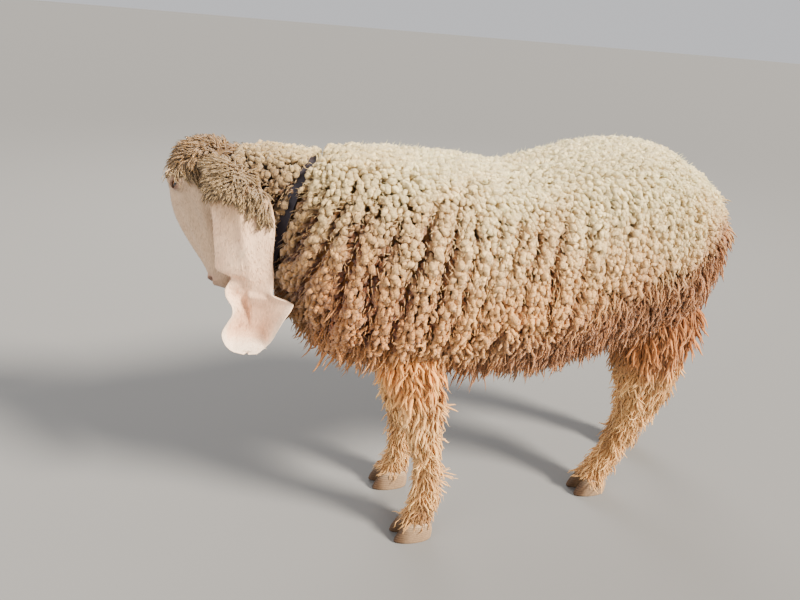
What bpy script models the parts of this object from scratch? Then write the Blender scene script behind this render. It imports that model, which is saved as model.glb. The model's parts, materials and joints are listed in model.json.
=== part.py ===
"""A standing long-eared Kajli sheep in full fleece, life size, as a still museum model.

Metres, +Z up. The trunk runs along X with the head towards -X, the animal's right side is +Y
and the hooves stand on z = 0. The neck bends to the right and the head hangs from it.
Places are given from a point on the floor midway between the fore hooves, and the whole
animal is moved at the end so that the middle of its footprint is the origin.
"""
import math
import random

import bpy
import bmesh
import numpy as np
from mathutils import Matrix, Vector

# The clearance that touching pieces keep.
GAP = 0.0003
# After a cut, edges shorter than this are closed up, and faces that bend less than this many
# degrees become one flat.
SHORT = 0.00025
FLAT = 0.4
# The middle of the whole animal's footprint, seen from between the fore hooves.
FOOTPRINT_MIDDLE = Vector((0.161, 0.0308, 0.0))
UP = Vector((0.0, 0.0, 1.0))
BACK = Vector((1.0, 0.0, 0.0))

# The fleece: how far clumps stand over their core, how deep their roots go, their pitch along
# the body and round it, and their half sizes at the base, which fit side by side.
CLUMP_HEIGHT = 0.028
CLUMP_ROOT = 0.012
COLUMN_PITCH = 0.096
CLUMP_PITCH = 0.094
CLUMP_HALF_WIDTH = 0.060
CLUMP_HALF_LENGTH = 0.051
CLUMP_SIDES = 6
# Locks hang below this height on the belly, lower flanks and brisket, and from higher up on the
# back of the thighs.
LOCK_LINE = 0.475
REAR_LOCK_LINE = 0.60
REAR_LOCKS_FROM = 0.50
LOCK_LENGTH = 0.098
LOCK_HALF_WIDTH = 0.031
LOCK_THICK = 0.020
# The sections of a clump: share of its height and of its width.
CLUMP_SECTIONS = ((0.30, 1.0), (0.80, 0.68))
CLUMP_ROOT_WIDTH = 0.82
# The sections of a lock beyond its root: share of its length, lift, bend, width and thickness.
LOCK_SECTIONS = ((0.25, 0.75, 0.0, 1.0, 1.0), (0.66, 1.0, 0.35, 0.66, 0.7))
LOCK_ROOT_RUN = -0.12
LOCK_ROOT_WIDTH = 0.75
LOCK_TIP_LIFT = 0.45

# The trunk and neck as one wool surface, from the rump to the back of the skull:
# middle x, y, z, half height, half width, and the section's lean back and turn right in degrees.
TRUNK = [
    (0.680, 0.030, 0.600, 0.030, 0.030, 0.0, 0.0),
    (0.670, 0.030, 0.603, 0.085, 0.080, 0.0, 0.0),
    (0.648, 0.030, 0.605, 0.125, 0.120, 0.0, 0.0),
    (0.615, 0.030, 0.602, 0.158, 0.148, 0.0, 0.0),
    (0.565, 0.030, 0.603, 0.185, 0.170, 0.0, 0.0),
    (0.500, 0.028, 0.610, 0.208, 0.181, 0.0, 0.0),
    (0.420, 0.025, 0.612, 0.215, 0.187, 0.0, 0.0),
    (0.330, 0.020, 0.599, 0.219, 0.192, 0.0, 0.0),
    (0.240, 0.015, 0.582, 0.214, 0.194, 0.0, 0.0),
    (0.160, 0.010, 0.579, 0.204, 0.190, 0.0, 0.0),
    (0.080, 0.005, 0.590, 0.203, 0.182, 0.0, 0.0),
    (0.000, 0.000, 0.600, 0.202, 0.172, 0.0, 0.0),
    (-0.070, 0.000, 0.608, 0.198, 0.160, 5.0, 4.0),
    (-0.130, 0.005, 0.620, 0.188, 0.145, 8.0, 12.0),
    (-0.180, 0.022, 0.644, 0.163, 0.118, 12.0, 22.0),
    (-0.222, 0.050, 0.668, 0.132, 0.086, 18.0, 28.0),
]
NECK = [
    (-0.222, 0.050, 0.668, 0.132, 0.086, 18.0, 28.0),
    (-0.262, 0.072, 0.690, 0.112, 0.075, 24.0, 28.0),
    (-0.305, 0.094, 0.708, 0.095, 0.067, 26.0, 26.0),
    (-0.348, 0.114, 0.720, 0.070, 0.055, 26.0, 24.0),
]
BODY_POWER = 2.3
CORE_SIDES = 14
# How large the neck's clumps are beside those of the trunk.
NECK_CLUMP = 0.80

# The head hangs: its turn to the right of the trunk and its tuck behind the vertical, degrees.
HEAD_TURN = 22.0
HEAD_TUCK = 10.0
POLL = Vector((-0.374, 0.129, 0.784))
HEAD_POWER = 2.15
HEAD_SIDES = 20
# The skull down the face: distance from the poll, reach to the front and back, half width.
SKULL = [
    (-0.012, 0.012, 0.012, 0.014),
    (-0.006, 0.034, 0.032, 0.038),
    (0.012, 0.052, 0.052, 0.053),
    (0.034, 0.062, 0.062, 0.058),
    (0.056, 0.069, 0.068, 0.057),
    (0.078, 0.073, 0.070, 0.053),
    (0.100, 0.075, 0.068, 0.049),
    (0.122, 0.074, 0.062, 0.044),
    (0.144, 0.070, 0.055, 0.040),
    (0.166, 0.064, 0.048, 0.037),
    (0.188, 0.057, 0.043, 0.035),
    (0.210, 0.049, 0.039, 0.034),
    (0.230, 0.042, 0.036, 0.034),
    (0.246, 0.037, 0.033, 0.033),
    (0.258, 0.031, 0.029, 0.030),
    (0.266, 0.021, 0.022, 0.023),
    (0.270, 0.009, 0.010, 0.011),
]
# Swells and hollows of the head on both sides: distance from the poll and angle from the side
# towards the front, their reach in metres and degrees, and their height.
SWELLS = {
    "cheek": (0.096, -26.0, 0.040, 30.0, 0.011),
    "brow": (0.046, 36.0, 0.020, 22.0, 0.008),
    "hollow below the eye": (0.112, 22.0, 0.026, 24.0, -0.005),
    "jaw edge": (0.120, -62.0, 0.050, 16.0, 0.005),
    "nostril wing": (0.247, 48.0, 0.013, 18.0, 0.004),
    "upper lip": (0.252, 4.0, 0.016, 22.0, 0.003),
    "lower lip": (0.246, -58.0, 0.016, 26.0, 0.003),
}
NOSTRIL = ((0.249, 0.027, 0.0215), (0.0100, 0.0026, 0.0075))
NOSTRIL_SLANT = 32.0
MOUTH_TIP = 0.2720
MOUTH_LENGTH = 0.064
MOUTH_DEPTH = 0.0026
MOUTH_STEPS = 5

# The legs: middle x, y, z, half thickness along X and along Y, from the plug in the trunk down.
FORE_LEG = [
    (-0.020, -0.078, 0.500, 0.046, 0.038),
    (-0.020, -0.084, 0.440, 0.050, 0.041),
    (-0.016, -0.087, 0.395, 0.046, 0.039),
    (-0.002, -0.087, 0.350, 0.036, 0.034),
    (0.008, -0.087, 0.300, 0.031, 0.030),
    (0.018, -0.086, 0.250, 0.031, 0.029),
    (0.028, -0.085, 0.200, 0.028, 0.026),
    (0.034, -0.085, 0.150, 0.026, 0.025),
    (0.036, -0.085, 0.100, 0.029, 0.028),
    (0.028, -0.085, 0.065, 0.029, 0.028),
    (0.018, -0.085, 0.041, 0.031, 0.030),
]
NEAR_HIND_LEG = [
    (0.560, -0.060, 0.520, 0.068, 0.046),
    (0.552, -0.065, 0.460, 0.076, 0.053),
    (0.541, -0.065, 0.400, 0.074, 0.050),
    (0.549, -0.062, 0.350, 0.070, 0.044),
    (0.562, -0.058, 0.300, 0.062, 0.038),
    (0.565, -0.053, 0.250, 0.054, 0.035),
    (0.552, -0.050, 0.200, 0.041, 0.031),
    (0.534, -0.047, 0.140, 0.031, 0.027),
    (0.514, -0.045, 0.090, 0.031, 0.028),
    (0.498, -0.045, 0.062, 0.032, 0.029),
    (0.486, -0.045, 0.041, 0.034, 0.031),
]
FAR_HIND_LEG = [
    (0.575, 0.112, 0.520, 0.068, 0.046),
    (0.582, 0.117, 0.460, 0.076, 0.053),
    (0.606, 0.118, 0.400, 0.071, 0.050),
    (0.638, 0.115, 0.350, 0.064, 0.044),
    (0.672, 0.110, 0.300, 0.056, 0.039),
    (0.697, 0.105, 0.250, 0.047, 0.035),
    (0.705, 0.102, 0.200, 0.037, 0.031),
    (0.705, 0.100, 0.140, 0.030, 0.027),
    (0.700, 0.100, 0.090, 0.031, 0.028),
    (0.690, 0.100, 0.062, 0.032, 0.029),
    (0.681, 0.100, 0.041, 0.034, 0.031),
]
LEGS = {
    "fore_left": (FORE_LEG, 1.0),
    "fore_right": (FORE_LEG, -1.0),
    "hind_left": (NEAR_HIND_LEG, 1.0),
    "hind_right": (FAR_HIND_LEG, 1.0),
}
LEG_SIDES = 10
LEG_POWER = 2.2
# The knee or hock, where a leg is parted from its shank.
KNEE = 0.205
HOCK = 0.238
# The shaggy locks of a leg: height of their roots, how many go round and their length, and how
# wide they are beside the leg.
LEG_LOCKS = [
    (0.408, 4, 0.098),
    (0.315, 4, 0.088),
    (0.188, 4, 0.072),
]
LEG_LOCK_SHARE = 0.68
LEG_LOCK_THICK = 0.013

# A hoof: two claws side by side that join at the heel. The claw's outline at four heights is
# its height, its reach in front of and behind the coronet's middle and its relative width.
HOOF_TOP = 0.0427
CLAW_HALF_WIDTH = 0.0145
CLEFT = 0.004
CLAW = [
    (0.0, 0.048, 0.033, 1.00),
    (0.006, 0.049, 0.034, 1.05),
    (0.024, 0.040, 0.034, 1.06),
    (HOOF_TOP, 0.026, 0.029, 0.98),
]
CLAW_POWER = 2.4
CLAW_TAPER = 0.35
# The heel: heights and relative sizes, half length and width, and how far back it lies.
HEEL = [(0.004, 0.8), (0.020, 1.0), (HOOF_TOP, 0.95)]
HEEL_HALF_LENGTH = 0.018
HEEL_HALF_WIDTH = 0.016
HEEL_BACK = 0.010
CLAW_SIDES = 8

# The tail, from its root plug to its tip: middle x, z and half thickness along X and Y.
TAIL_Y = 0.030
TAIL = [
    (0.625, 0.712, 0.014, 0.018),
    (0.659, 0.704, 0.020, 0.024),
    (0.686, 0.672, 0.021, 0.026),
    (0.701, 0.620, 0.019, 0.027),
    (0.708, 0.566, 0.016, 0.024),
    (0.712, 0.524, 0.010, 0.016),
    (0.713, 0.500, 0.004, 0.007),
]
TAIL_LOCKS = [(0.685, 3), (0.625, 3), (0.565, 3)]

# The collar round the base of the neck, pressed into the wool.
COLLAR_WIDTH = 0.016
COLLAR_THICK = 0.004
COLLAR_INSET = 0.014
COLLAR_SIDES = 24

# The ears: length, thickness, where they leave the skull, and how far they stand out and sweep
# back before they hang.
EAR_LENGTH = 0.3257
EAR_THICK = 0.0055
EAR_DOWN = 0.035
EAR_BACK = 0.042
EAR_OUT = 0.044
EAR_STAND = 0.066
EAR_SWEEP = 0.055
EAR_LEAN = 0.018
EAR_BEND = 0.032
# The roll of the upper ear, and the scoop, cup and back edge's flare of its lower end.
EAR_ROLL = 0.017
EAR_ROLL_REACH = 0.050
EAR_SCOOP = 0.034
EAR_CUP = 0.020
EAR_FLARE = 0.024
EAR_FLARE_PLACE = 0.80
EAR_FLARE_LENGTH = 0.14
EAR_LOW_FROM = 0.62
EAR_TIP_FROM = 0.86
EAR_COLUMNS = 6
# Share of the ear's length, and the reach of its back and front edge there.
EAR_EDGES = [
    (0.000, 0.016, 0.016),
    (0.084, 0.030, 0.030),
    (0.177, 0.050, 0.052),
    (0.344, 0.055, 0.050),
    (0.522, 0.047, 0.053),
    (0.600, 0.047, 0.054),
    (0.639, 0.047, 0.028),
    (0.694, 0.048, 0.038),
    (0.722, 0.083, 0.036),
    (0.778, 0.074, 0.022),
    (0.856, 0.058, 0.033),
    (0.903, 0.049, 0.042),
    (0.966, 0.032, 0.036),
    (1.000, 0.010, 0.010),
]

# The eyes: radius, place on the skull, how far they look forwards in degrees, the half sizes of
# the lids' swelling and the slit between the lids.
EYE_RADIUS = 0.0135
EYE_DOWN = 0.056
EYE_FRONT = 0.036
EYE_OUT = 0.0430
EYE_FORWARD = 18.0
LIDS = (0.0152, 0.0225, 0.0180)
SLIT_HALF_LENGTH = 0.0130
SLIT_HALF_HEIGHT = 0.0062
SLIT_TILT = 48.0


def clear_scene():
    """Remove whatever the file opened with."""
    for obj in list(bpy.data.objects):
        bpy.data.objects.remove(obj, do_unlink=True)


def coat(name, color, roughness):
    """A Principled material for one kind of surface."""
    material = bpy.data.materials.new(name)
    material.use_nodes = True
    shader = material.node_tree.nodes["Principled BSDF"]
    shader.inputs["Base Color"].default_value = (*color, 1.0)
    shader.inputs["Roughness"].default_value = roughness
    return material


def mesh_of(name, points, faces):
    """A mesh of triangles from points and faces, with every face turned outwards."""
    mesh = bpy.data.meshes.new(name)
    mesh.from_pydata([tuple(p) for p in points], [], faces)
    shape = bmesh.new()
    shape.from_mesh(mesh)
    bmesh.ops.triangulate(shape, faces=shape.faces)
    bmesh.ops.recalc_face_normals(shape, faces=shape.faces)
    shape.to_mesh(mesh)
    shape.free()
    return mesh


def loft(name, rings, tip=None):
    """A closed body through rings of equally many points, ended by a point where one is given."""
    count = len(rings[0])
    points = [p for ring in rings for p in ring]
    faces = []
    for row in range(len(rings) - 1):
        for i in range(count):
            j = (i + 1) % count
            low = row * count
            high = low + count
            faces.append((low + i, low + j, high + j))
            faces.append((low + i, high + j, high + i))
    faces.append(tuple(range(count)))
    last = (len(rings) - 1) * count
    if tip is None:
        faces.append(tuple(last + i for i in range(count)))
    else:
        points.append(tip)
        faces += [(last + i, last + (i + 1) % count, len(points) - 1) for i in range(count)]
    return mesh_of(name, points, faces)


def between(rows, place):
    """The row at a fractional place in a table, on a smooth curve through its rows."""
    table = np.asarray(rows, dtype=float)
    index = min(int(math.floor(place)), len(table) - 2)
    t = place - index
    before = table[max(index - 1, 0)]
    start = table[index]
    end = table[index + 1]
    after = table[min(index + 2, len(table) - 1)]
    return 0.5 * (2 * start + (end - before) * t + (2 * before - 5 * start + 4 * end - after) * t * t
                  + (3 * start - before - 3 * end + after) * t ** 3)


def oval(angle, power):
    """Sideways and upward reach of a rounded section at an angle, each from -1 to 1."""
    c, s = math.cos(angle), math.sin(angle)
    return (math.copysign(abs(c) ** (2 / power), c), math.copysign(abs(s) ** (2 / power), s))


def ball(name, middle, axes, sizes, around=10, rows=7):
    """An ellipsoid with its half sizes along three directions."""
    rings = []
    for row in range(1, rows):
        angle = math.pi * row / rows
        rings.append([middle - axes[0] * sizes[0] * math.cos(angle)
                      + axes[1] * sizes[1] * math.sin(angle) * math.cos(math.tau * i / around)
                      + axes[2] * sizes[2] * math.sin(angle) * math.sin(math.tau * i / around)
                      for i in range(around)])
    return loft(name, rings)


def clump(place, normal, lie, size, lean):
    """One rounded clump of wool, a low dome that leans along the lie of the fleece."""
    lie = (lie - normal * lie.dot(normal)).normalized()
    side = normal.cross(lie)
    height = CLUMP_HEIGHT * size
    rings = []
    for level, spread in ((-CLUMP_ROOT / height, CLUMP_ROOT_WIDTH), *CLUMP_SECTIONS):
        shift = lean * max(0.0, level) ** 2
        ring = []
        for i in range(CLUMP_SIDES):
            angle = math.tau * (i + 0.5) / CLUMP_SIDES
            ring.append(place + normal * level * height
                        + lie * (shift + CLUMP_HALF_LENGTH * size * spread * math.cos(angle))
                        + side * CLUMP_HALF_WIDTH * size * spread * math.sin(angle))
        rings.append(ring)
    return loft("clump", rings, place + normal * height + lie * lean)


def lock(place, normal, lie, length, half_width, thick, root, lift, bend):
    """One flat tapered lock, its root sunk in, that lies along the coat and bends to a point."""
    lie = (lie - normal * lie.dot(normal)).normalized()
    side = normal.cross(lie)
    rings = []
    start = (LOCK_ROOT_RUN, -root / lift, 0.0, LOCK_ROOT_WIDTH, 1.0)
    for run, rise, sway, wide, deep in (start, *LOCK_SECTIONS):
        middle = place + lie * length * run + normal * lift * rise + side * bend * sway
        ring = []
        for along, out in ((1.0, 0.0), (0.0, 0.5), (-1.0, 0.0), (0.0, -0.5)):
            ring.append(middle + side * half_width * wide * along + normal * thick * deep * out)
        rings.append(ring)
    return loft("lock", rings, place + lie * length + normal * LOCK_TIP_LIFT * lift + side * bend)


def body_axes(lean, turn):
    """Forward, left and up directions of a body section from its lean and turn in degrees."""
    lean, turn = math.radians(lean), math.radians(turn)
    forward = Vector((-math.cos(turn), math.sin(turn), 0.0))
    left = UP.cross(forward)
    up = UP * math.cos(lean) - forward * math.sin(lean)
    return forward * math.cos(lean) + UP * math.sin(lean), left, up


def body_point(rows, place, angle, inset=0.0):
    """A point of the trunk's or neck's wool surface, or inset within its section."""
    x, y, z, half_height, half_width, lean, turn = between(rows, place)
    _, left, up = body_axes(lean, turn)
    across, upward = oval(angle, BODY_POWER)
    return (Vector((x, y, z)) + left * max(half_width - inset, 0.004) * across
            + up * max(half_height - inset, 0.004) * upward)


def body_normal(rows, place, angle):
    """The outward direction of the trunk's or neck's surface."""
    step = 0.04
    last = len(rows) - 1
    run = (body_point(rows, min(place + step, last), angle)
           - body_point(rows, max(place - step, 0.0), angle))
    turn = body_point(rows, place, angle + step) - body_point(rows, place, angle - step)
    return run.cross(turn).normalized() * -1.0


def body_core(name, rows, inset, closed_start):
    """The core of the trunk or neck, a coat's inset below the tips of its clumps."""
    rings = []
    for place in range(len(rows)):
        ring = []
        for i in range(CORE_SIDES):
            angle = math.tau * (i + 0.5) / CORE_SIDES
            point = body_point(rows, place, angle, inset)
            if closed_start and place < 3:
                point = body_point(rows, place, angle) - body_normal(rows, place, angle) * inset
            ring.append(point)
        rings.append(ring)
    return loft(name, rings)


def sites(rows, first, last, column_pitch, pitch, rng):
    """Evenly spread places on a body surface: place in the table and angle, in columns."""
    fine = 160
    angles = [math.tau * i / 24 for i in range(24)]
    gone = 0.0
    target = 0.0
    column = 0
    found = []
    before = [body_point(rows, first, a) for a in angles]
    for step in range(fine + 1):
        place = first + (last - first) * step / fine
        here = [body_point(rows, place, a) for a in angles]
        gone += sum((p - q).length for p, q in zip(here, before)) / len(angles)
        before = here
        if gone < target:
            continue
        target += column_pitch
        column += 1
        ring = [body_point(rows, place, math.tau * i / 72) for i in range(73)]
        lengths = [0.0]
        for i in range(72):
            lengths.append(lengths[-1] + (ring[i + 1] - ring[i]).length)
        count = max(4, round(lengths[-1] / pitch))
        for i in range(count):
            where = lengths[-1] * ((i + 0.5 * (column % 2) + rng.uniform(-0.05, 0.05)) % count) / count
            angle = float(np.interp(where, lengths, [math.tau * k / 72 for k in range(73)]))
            found.append((place + rng.uniform(-0.03, 0.03), angle))
    return [(min(max(place, first), last), angle) for place, angle in found]


def downward(normal):
    """The way wool hangs on a surface: down the flanks and to the back along the spine."""
    return -UP + BACK * (0.25 + 2.0 * max(0.0, normal.z) ** 4)


def over_leg(point, spare):
    """Whether a point lies over or under the top of a leg."""
    for name in LEGS:
        x, y, z, half_x, half_y = leg_rows(name)[1]
        if abs(point.x - x) < half_x + spare and abs(point.y - y) < half_y + spare and point.z < z:
            return True
    return False


def torso_pieces():
    """The trunk's core with its clumps above and its hanging locks below."""
    rng = random.Random(11)
    pieces = [body_core("torso", TRUNK, CLUMP_HEIGHT, True)]
    for place, angle in sites(TRUNK, 0.3, len(TRUNK) - 1.1, COLUMN_PITCH, CLUMP_PITCH, rng):
        normal = body_normal(TRUNK, place, angle)
        tip = body_point(TRUNK, place, angle)
        size = rng.uniform(0.92, 1.04)
        bend = rng.uniform(-0.012, 0.012)
        root = tip - normal * CLUMP_HEIGHT
        hangs = tip.z < LOCK_LINE or (tip.x > REAR_LOCKS_FROM and tip.z < REAR_LOCK_LINE)
        if not hangs:
            pieces.append(clump(root, normal, downward(normal), size, 0.008))
        elif not over_leg(tip, -0.012):
            lie = -UP * 0.5 + BACK * (0.75 if normal.z < -0.8 else 0.35)
            length = LOCK_LENGTH * size * (0.85 if normal.z < -0.8 else 1.0)
            pieces.append(lock(root, normal, lie, length, LOCK_HALF_WIDTH * size, LOCK_THICK,
                               CLUMP_ROOT, CLUMP_HEIGHT - LOCK_THICK / 2, bend))
    return pieces


def neck_pieces():
    """The neck's core with its clumps."""
    rng = random.Random(12)
    inset = CLUMP_HEIGHT * NECK_CLUMP
    pieces = [body_core("neck", NECK, inset, False)]
    for place, angle in sites(NECK, 0.35, 2.6, COLUMN_PITCH * NECK_CLUMP, CLUMP_PITCH * NECK_CLUMP, rng):
        normal = body_normal(NECK, place, angle)
        root = body_point(NECK, place, angle) - normal * inset
        pieces.append(clump(root, normal, downward(normal), NECK_CLUMP * rng.uniform(0.92, 1.04), 0.006))
    return pieces


HEAD_FORWARD, HEAD_LEFT, _ = body_axes(0.0, HEAD_TURN)
HEAD_DOWN = (-UP * math.cos(math.radians(HEAD_TUCK))
             - HEAD_FORWARD * math.sin(math.radians(HEAD_TUCK)))
HEAD_FRONT = (HEAD_FORWARD * math.cos(math.radians(HEAD_TUCK))
              - UP * math.sin(math.radians(HEAD_TUCK)))


def head_place(down, front, out, side=1.0):
    """A point of the head from its distance below the poll, in front of and beside its axis."""
    return POLL + HEAD_DOWN * down + HEAD_FRONT * front + HEAD_LEFT * out * side


def skull_row(down):
    """Reach to the front and back and half width of the skull at a distance from the poll."""
    table = np.asarray(SKULL).T
    return [float(np.interp(down, table[0], column)) for column in table[1:]]


def skull_point(down, angle):
    """A point of the skull's surface at a distance from the poll and an angle round it."""
    front, back, half_width = skull_row(down)
    across, forward = oval(angle, HEAD_POWER)
    rise = 0.0
    for place, turn, length, spread, height in SWELLS.values():
        off = (math.degrees(math.asin(math.sin(angle))) - turn) / spread
        rise += height * math.exp(-((down - place) / length) ** 2 - off * off)
    reach = front if forward > 0 else back
    return head_place(down, reach * forward + rise * math.sin(angle),
                      half_width * across + rise * math.cos(angle))


def skull_piece():
    """The bare skull and muzzle."""
    return loft("head", [[skull_point(row[0], math.tau * i / HEAD_SIDES) for i in range(HEAD_SIDES)]
                         for row in SKULL])


def poll_wool():
    """The short wool of the poll: clumps on top and pointed tufts that hang over the ear roots."""
    rng = random.Random(13)
    pieces = []
    middle = head_place(0.020, -0.004, 0.0)
    for tilt, count, kind in ((0.0, 1, "clump"), (44.0, 5, "clump"), (72.0, 7, "tuft")):
        for i in range(count):
            around = math.tau * (i + 0.3 * (tilt > 50)) / count + rng.uniform(-0.08, 0.08)
            slope = math.radians(tilt)
            normal = (-HEAD_DOWN * math.cos(slope) + (HEAD_FRONT * math.cos(around)
                                                      + HEAD_LEFT * math.sin(around)) * math.sin(slope))
            reach = 0.046 + 0.004 * math.sin(slope)
            root = middle + normal * reach
            if kind == "clump":
                lie = HEAD_DOWN if tilt else HEAD_FRONT
                pieces.append(clump(root, normal, lie, 0.56 * rng.uniform(0.94, 1.04), 0.004))
            else:
                pieces.append(lock(root, normal, HEAD_DOWN, 0.036 * rng.uniform(0.9, 1.15), 0.019, 0.012,
                                   0.010, 0.006, rng.uniform(-0.004, 0.004)))
    return pieces


def eye_axes(side):
    """The eye's outward, lengthwise and crosswise directions."""
    look = math.radians(EYE_FORWARD)
    tilt = math.radians(SLIT_TILT)
    outward = HEAD_LEFT * side * math.cos(look) + HEAD_FRONT * math.sin(look)
    front = HEAD_FRONT * math.cos(look) - HEAD_LEFT * side * math.sin(look)
    long_way = HEAD_DOWN * math.cos(tilt) + front * math.sin(tilt)
    return outward, long_way, long_way.cross(outward)


def lid_slit(side):
    """The almond-shaped prism that opens the lids."""
    outward, long_way, short_way = eye_axes(side)
    middle = head_place(EYE_DOWN, EYE_FRONT, EYE_OUT, side)
    rings = []
    for level, grow in ((0.006, 0.8), (0.022, 1.25)):
        ring = []
        for i in range(10):
            angle = math.tau * i / 10
            c, s = math.cos(angle), math.sin(angle)
            ring.append(middle + outward * level + long_way * SLIT_HALF_LENGTH * grow * c
                        + short_way * SLIT_HALF_HEIGHT * grow * s * abs(s) ** 0.35)
        rings.append(ring)
    return loft("slit", rings)


def nostril(side):
    """The slanting slit of a nostril, as the body that it takes away."""
    slant = math.radians(NOSTRIL_SLANT)
    middle, sizes = NOSTRIL
    along = HEAD_DOWN * math.cos(slant) + HEAD_LEFT * side * math.sin(slant) * -1.0
    return ball("nostril", head_place(*middle, side), (along, HEAD_FRONT.cross(along), HEAD_FRONT),
                (sizes[0], sizes[1], sizes[2]), 8, 6)


def mouth_line():
    """The groove of the mouth, from one corner round the tip of the muzzle to the other."""
    path = []
    for step in range(-MOUTH_STEPS, MOUTH_STEPS + 1):
        t = step / MOUTH_STEPS
        down = MOUTH_TIP - MOUTH_LENGTH * t * t
        front = -0.003 - 0.019 * abs(t)
        _, back, half_width = skull_row(down)
        level = min(abs(front) / back, 0.95)
        out = half_width * (1.0 - level ** HEAD_POWER) ** (1.0 / HEAD_POWER)
        path.append(head_place(down, front, out * (t > 0) - out * (t < 0)))
    rings = []
    for i, middle in enumerate(path):
        run = (path[min(i + 1, len(path) - 1)] - path[max(i - 1, 0)]).normalized()
        side = run.cross(HEAD_FRONT).normalized()
        rings.append([middle + side * MOUTH_DEPTH, middle + HEAD_FRONT * MOUTH_DEPTH * 0.6,
                      middle - side * MOUTH_DEPTH, middle - HEAD_FRONT * MOUTH_DEPTH * 0.6])
    return loft("mouth", rings)


def eye_piece(side):
    """An eyeball, set deep in the side of the skull."""
    return ball("eye", head_place(EYE_DOWN, EYE_FRONT, EYE_OUT, side), eye_axes(side), (EYE_RADIUS,) * 3)


def lids_piece(side):
    """The swelling of the lids over the eyeball."""
    return ball("lids", head_place(EYE_DOWN, EYE_FRONT, EYE_OUT, side), eye_axes(side), LIDS)


def ear_point(side, along, across, out):
    """A point of an ear: along from root to tip, across from back to front edge, out in metres."""
    outward = HEAD_LEFT * side
    distance = along * EAR_LENGTH
    turned = 1.0 - math.exp(-distance / EAR_BEND)
    sweep = EAR_SWEEP * turned + EAR_LEAN * along * along
    middle = (head_place(EAR_DOWN, -EAR_BACK, EAR_OUT, side) + outward * EAR_STAND * turned
              - HEAD_FORWARD * sweep - UP * (distance - EAR_BEND * turned))
    run = (outward * EAR_STAND * (1.0 - turned) / EAR_BEND - UP * turned).normalized()
    away = HEAD_FORWARD.cross(run).normalized() * side
    places, backs, fronts = np.asarray(EAR_EDGES).T
    reach = float(np.interp(along, places, fronts if across > 0 else backs))
    roll = EAR_ROLL * (reach / EAR_ROLL_REACH) * (1.0 - across * across) * (1.0 - 0.7 * along)
    low = max(0.0, (along - EAR_LOW_FROM) / (1.0 - EAR_LOW_FROM))
    rim = max(abs(across), (along - EAR_TIP_FROM) / (1.0 - EAR_TIP_FROM))
    scoop = EAR_SCOOP * low * low * (0.8 + 0.2 * across * across)
    cup = EAR_CUP * min(2.0 * low, 1.0) * (rim ** 3 - 0.4)
    flare = (EAR_FLARE * max(0.0, -across) ** 2
             * math.exp(-((along - EAR_FLARE_PLACE) / EAR_FLARE_LENGTH) ** 2))
    return middle + HEAD_FORWARD * reach * across + away * (roll + scoop + cup + flare + out)


def ear_piece(side):
    """A long broad ear that hangs beside the cheek, cupped towards it."""
    points = []
    for layer in (1, -1):
        for along, _, _ in EAR_EDGES:
            for column in range(EAR_COLUMNS + 1):
                across = 2.0 * column / EAR_COLUMNS - 1.0
                points.append(ear_point(side, along, across, layer * EAR_THICK / 2))
    faces = []
    last = len(EAR_EDGES) - 1
    wide = EAR_COLUMNS + 1
    sheet = wide * len(EAR_EDGES)
    for row in range(last):
        for column in range(EAR_COLUMNS):
            a = row * wide + column
            b, c, d = a + 1, a + wide + 1, a + wide
            for layer in (0, sheet):
                faces.append((a + layer, b + layer, c + layer))
                faces.append((a + layer, c + layer, d + layer))
    rim = (list(range(EAR_COLUMNS))
           + [row * wide + EAR_COLUMNS for row in range(last)]
           + [last * wide + column for column in range(EAR_COLUMNS, 0, -1)]
           + [row * wide for row in range(last, 0, -1)])
    for a, b in zip(rim, rim[1:] + rim[:1]):
        faces.append((a, b, b + sheet))
        faces.append((a, b + sheet, a + sheet))
    return mesh_of("ear", points, faces)


def leg_rows(name):
    """A leg's table, mirrored for the right fore leg."""
    rows, side = LEGS[name]
    return [(x, y * side, z, half_x, half_y) for x, y, z, half_x, half_y in rows]


def leg_pieces(name):
    """A leg from its plug in the trunk down to the coronet, with its shaggy locks."""
    rng = random.Random("leg " + name)
    rows = leg_rows(name)
    rings = []
    for x, y, z, half_x, half_y in rows:
        ring = []
        for i in range(LEG_SIDES):
            along, across = oval(math.tau * i / LEG_SIDES, LEG_POWER)
            ring.append(Vector((x + half_x * along, y + half_y * across, z)))
        rings.append(ring)
    pieces = [loft("leg", rings)]
    heights = [row[2] for row in reversed(rows)]
    for tier, (height, count, length) in enumerate(LEG_LOCKS):
        x, y, half_x, half_y = (float(np.interp(height, heights, [row[k] for row in reversed(rows)]))
                                for k in (0, 1, 3, 4))
        half_width = LEG_LOCK_SHARE * (half_x + half_y) / 2
        for i in range(count):
            angle = math.tau * (i + 0.5 * (tier % 2)) / count + rng.uniform(-0.15, 0.15)
            along, across = oval(angle, LEG_POWER)
            normal = Vector((along / half_x, across / half_y, 0.0)).normalized()
            place = Vector((x + half_x * along, y + half_y * across, height + rng.uniform(-0.01, 0.01)))
            lie = -UP + BACK * (0.15 + 0.25 * (normal.x > 0.4))
            pieces.append(lock(place, normal, lie, length * rng.uniform(0.88, 1.12),
                               half_width * rng.uniform(0.9, 1.1), LEG_LOCK_THICK, 0.010,
                               0.006 + 0.006 * (normal.x > 0.4), rng.uniform(-0.008, 0.008)))
    return pieces


def leg_parting(height, side):
    """A large block above or below a height, at which a leg is parted."""
    return loft("parting", [[Vector((a, b, height + side * level))
                             for a, b in ((1, 1), (1, -1), (-1, -1), (-1, 1))]
                            for level in (0.0, 1.0)])


def leg_object(name):
    """The upper part of a leg."""
    joint = KNEE if "fore" in name else HOCK
    return build_node("leg_" + name, leg_pieces(name), carve=[leg_parting(joint + GAP / 2, -1)])


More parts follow.
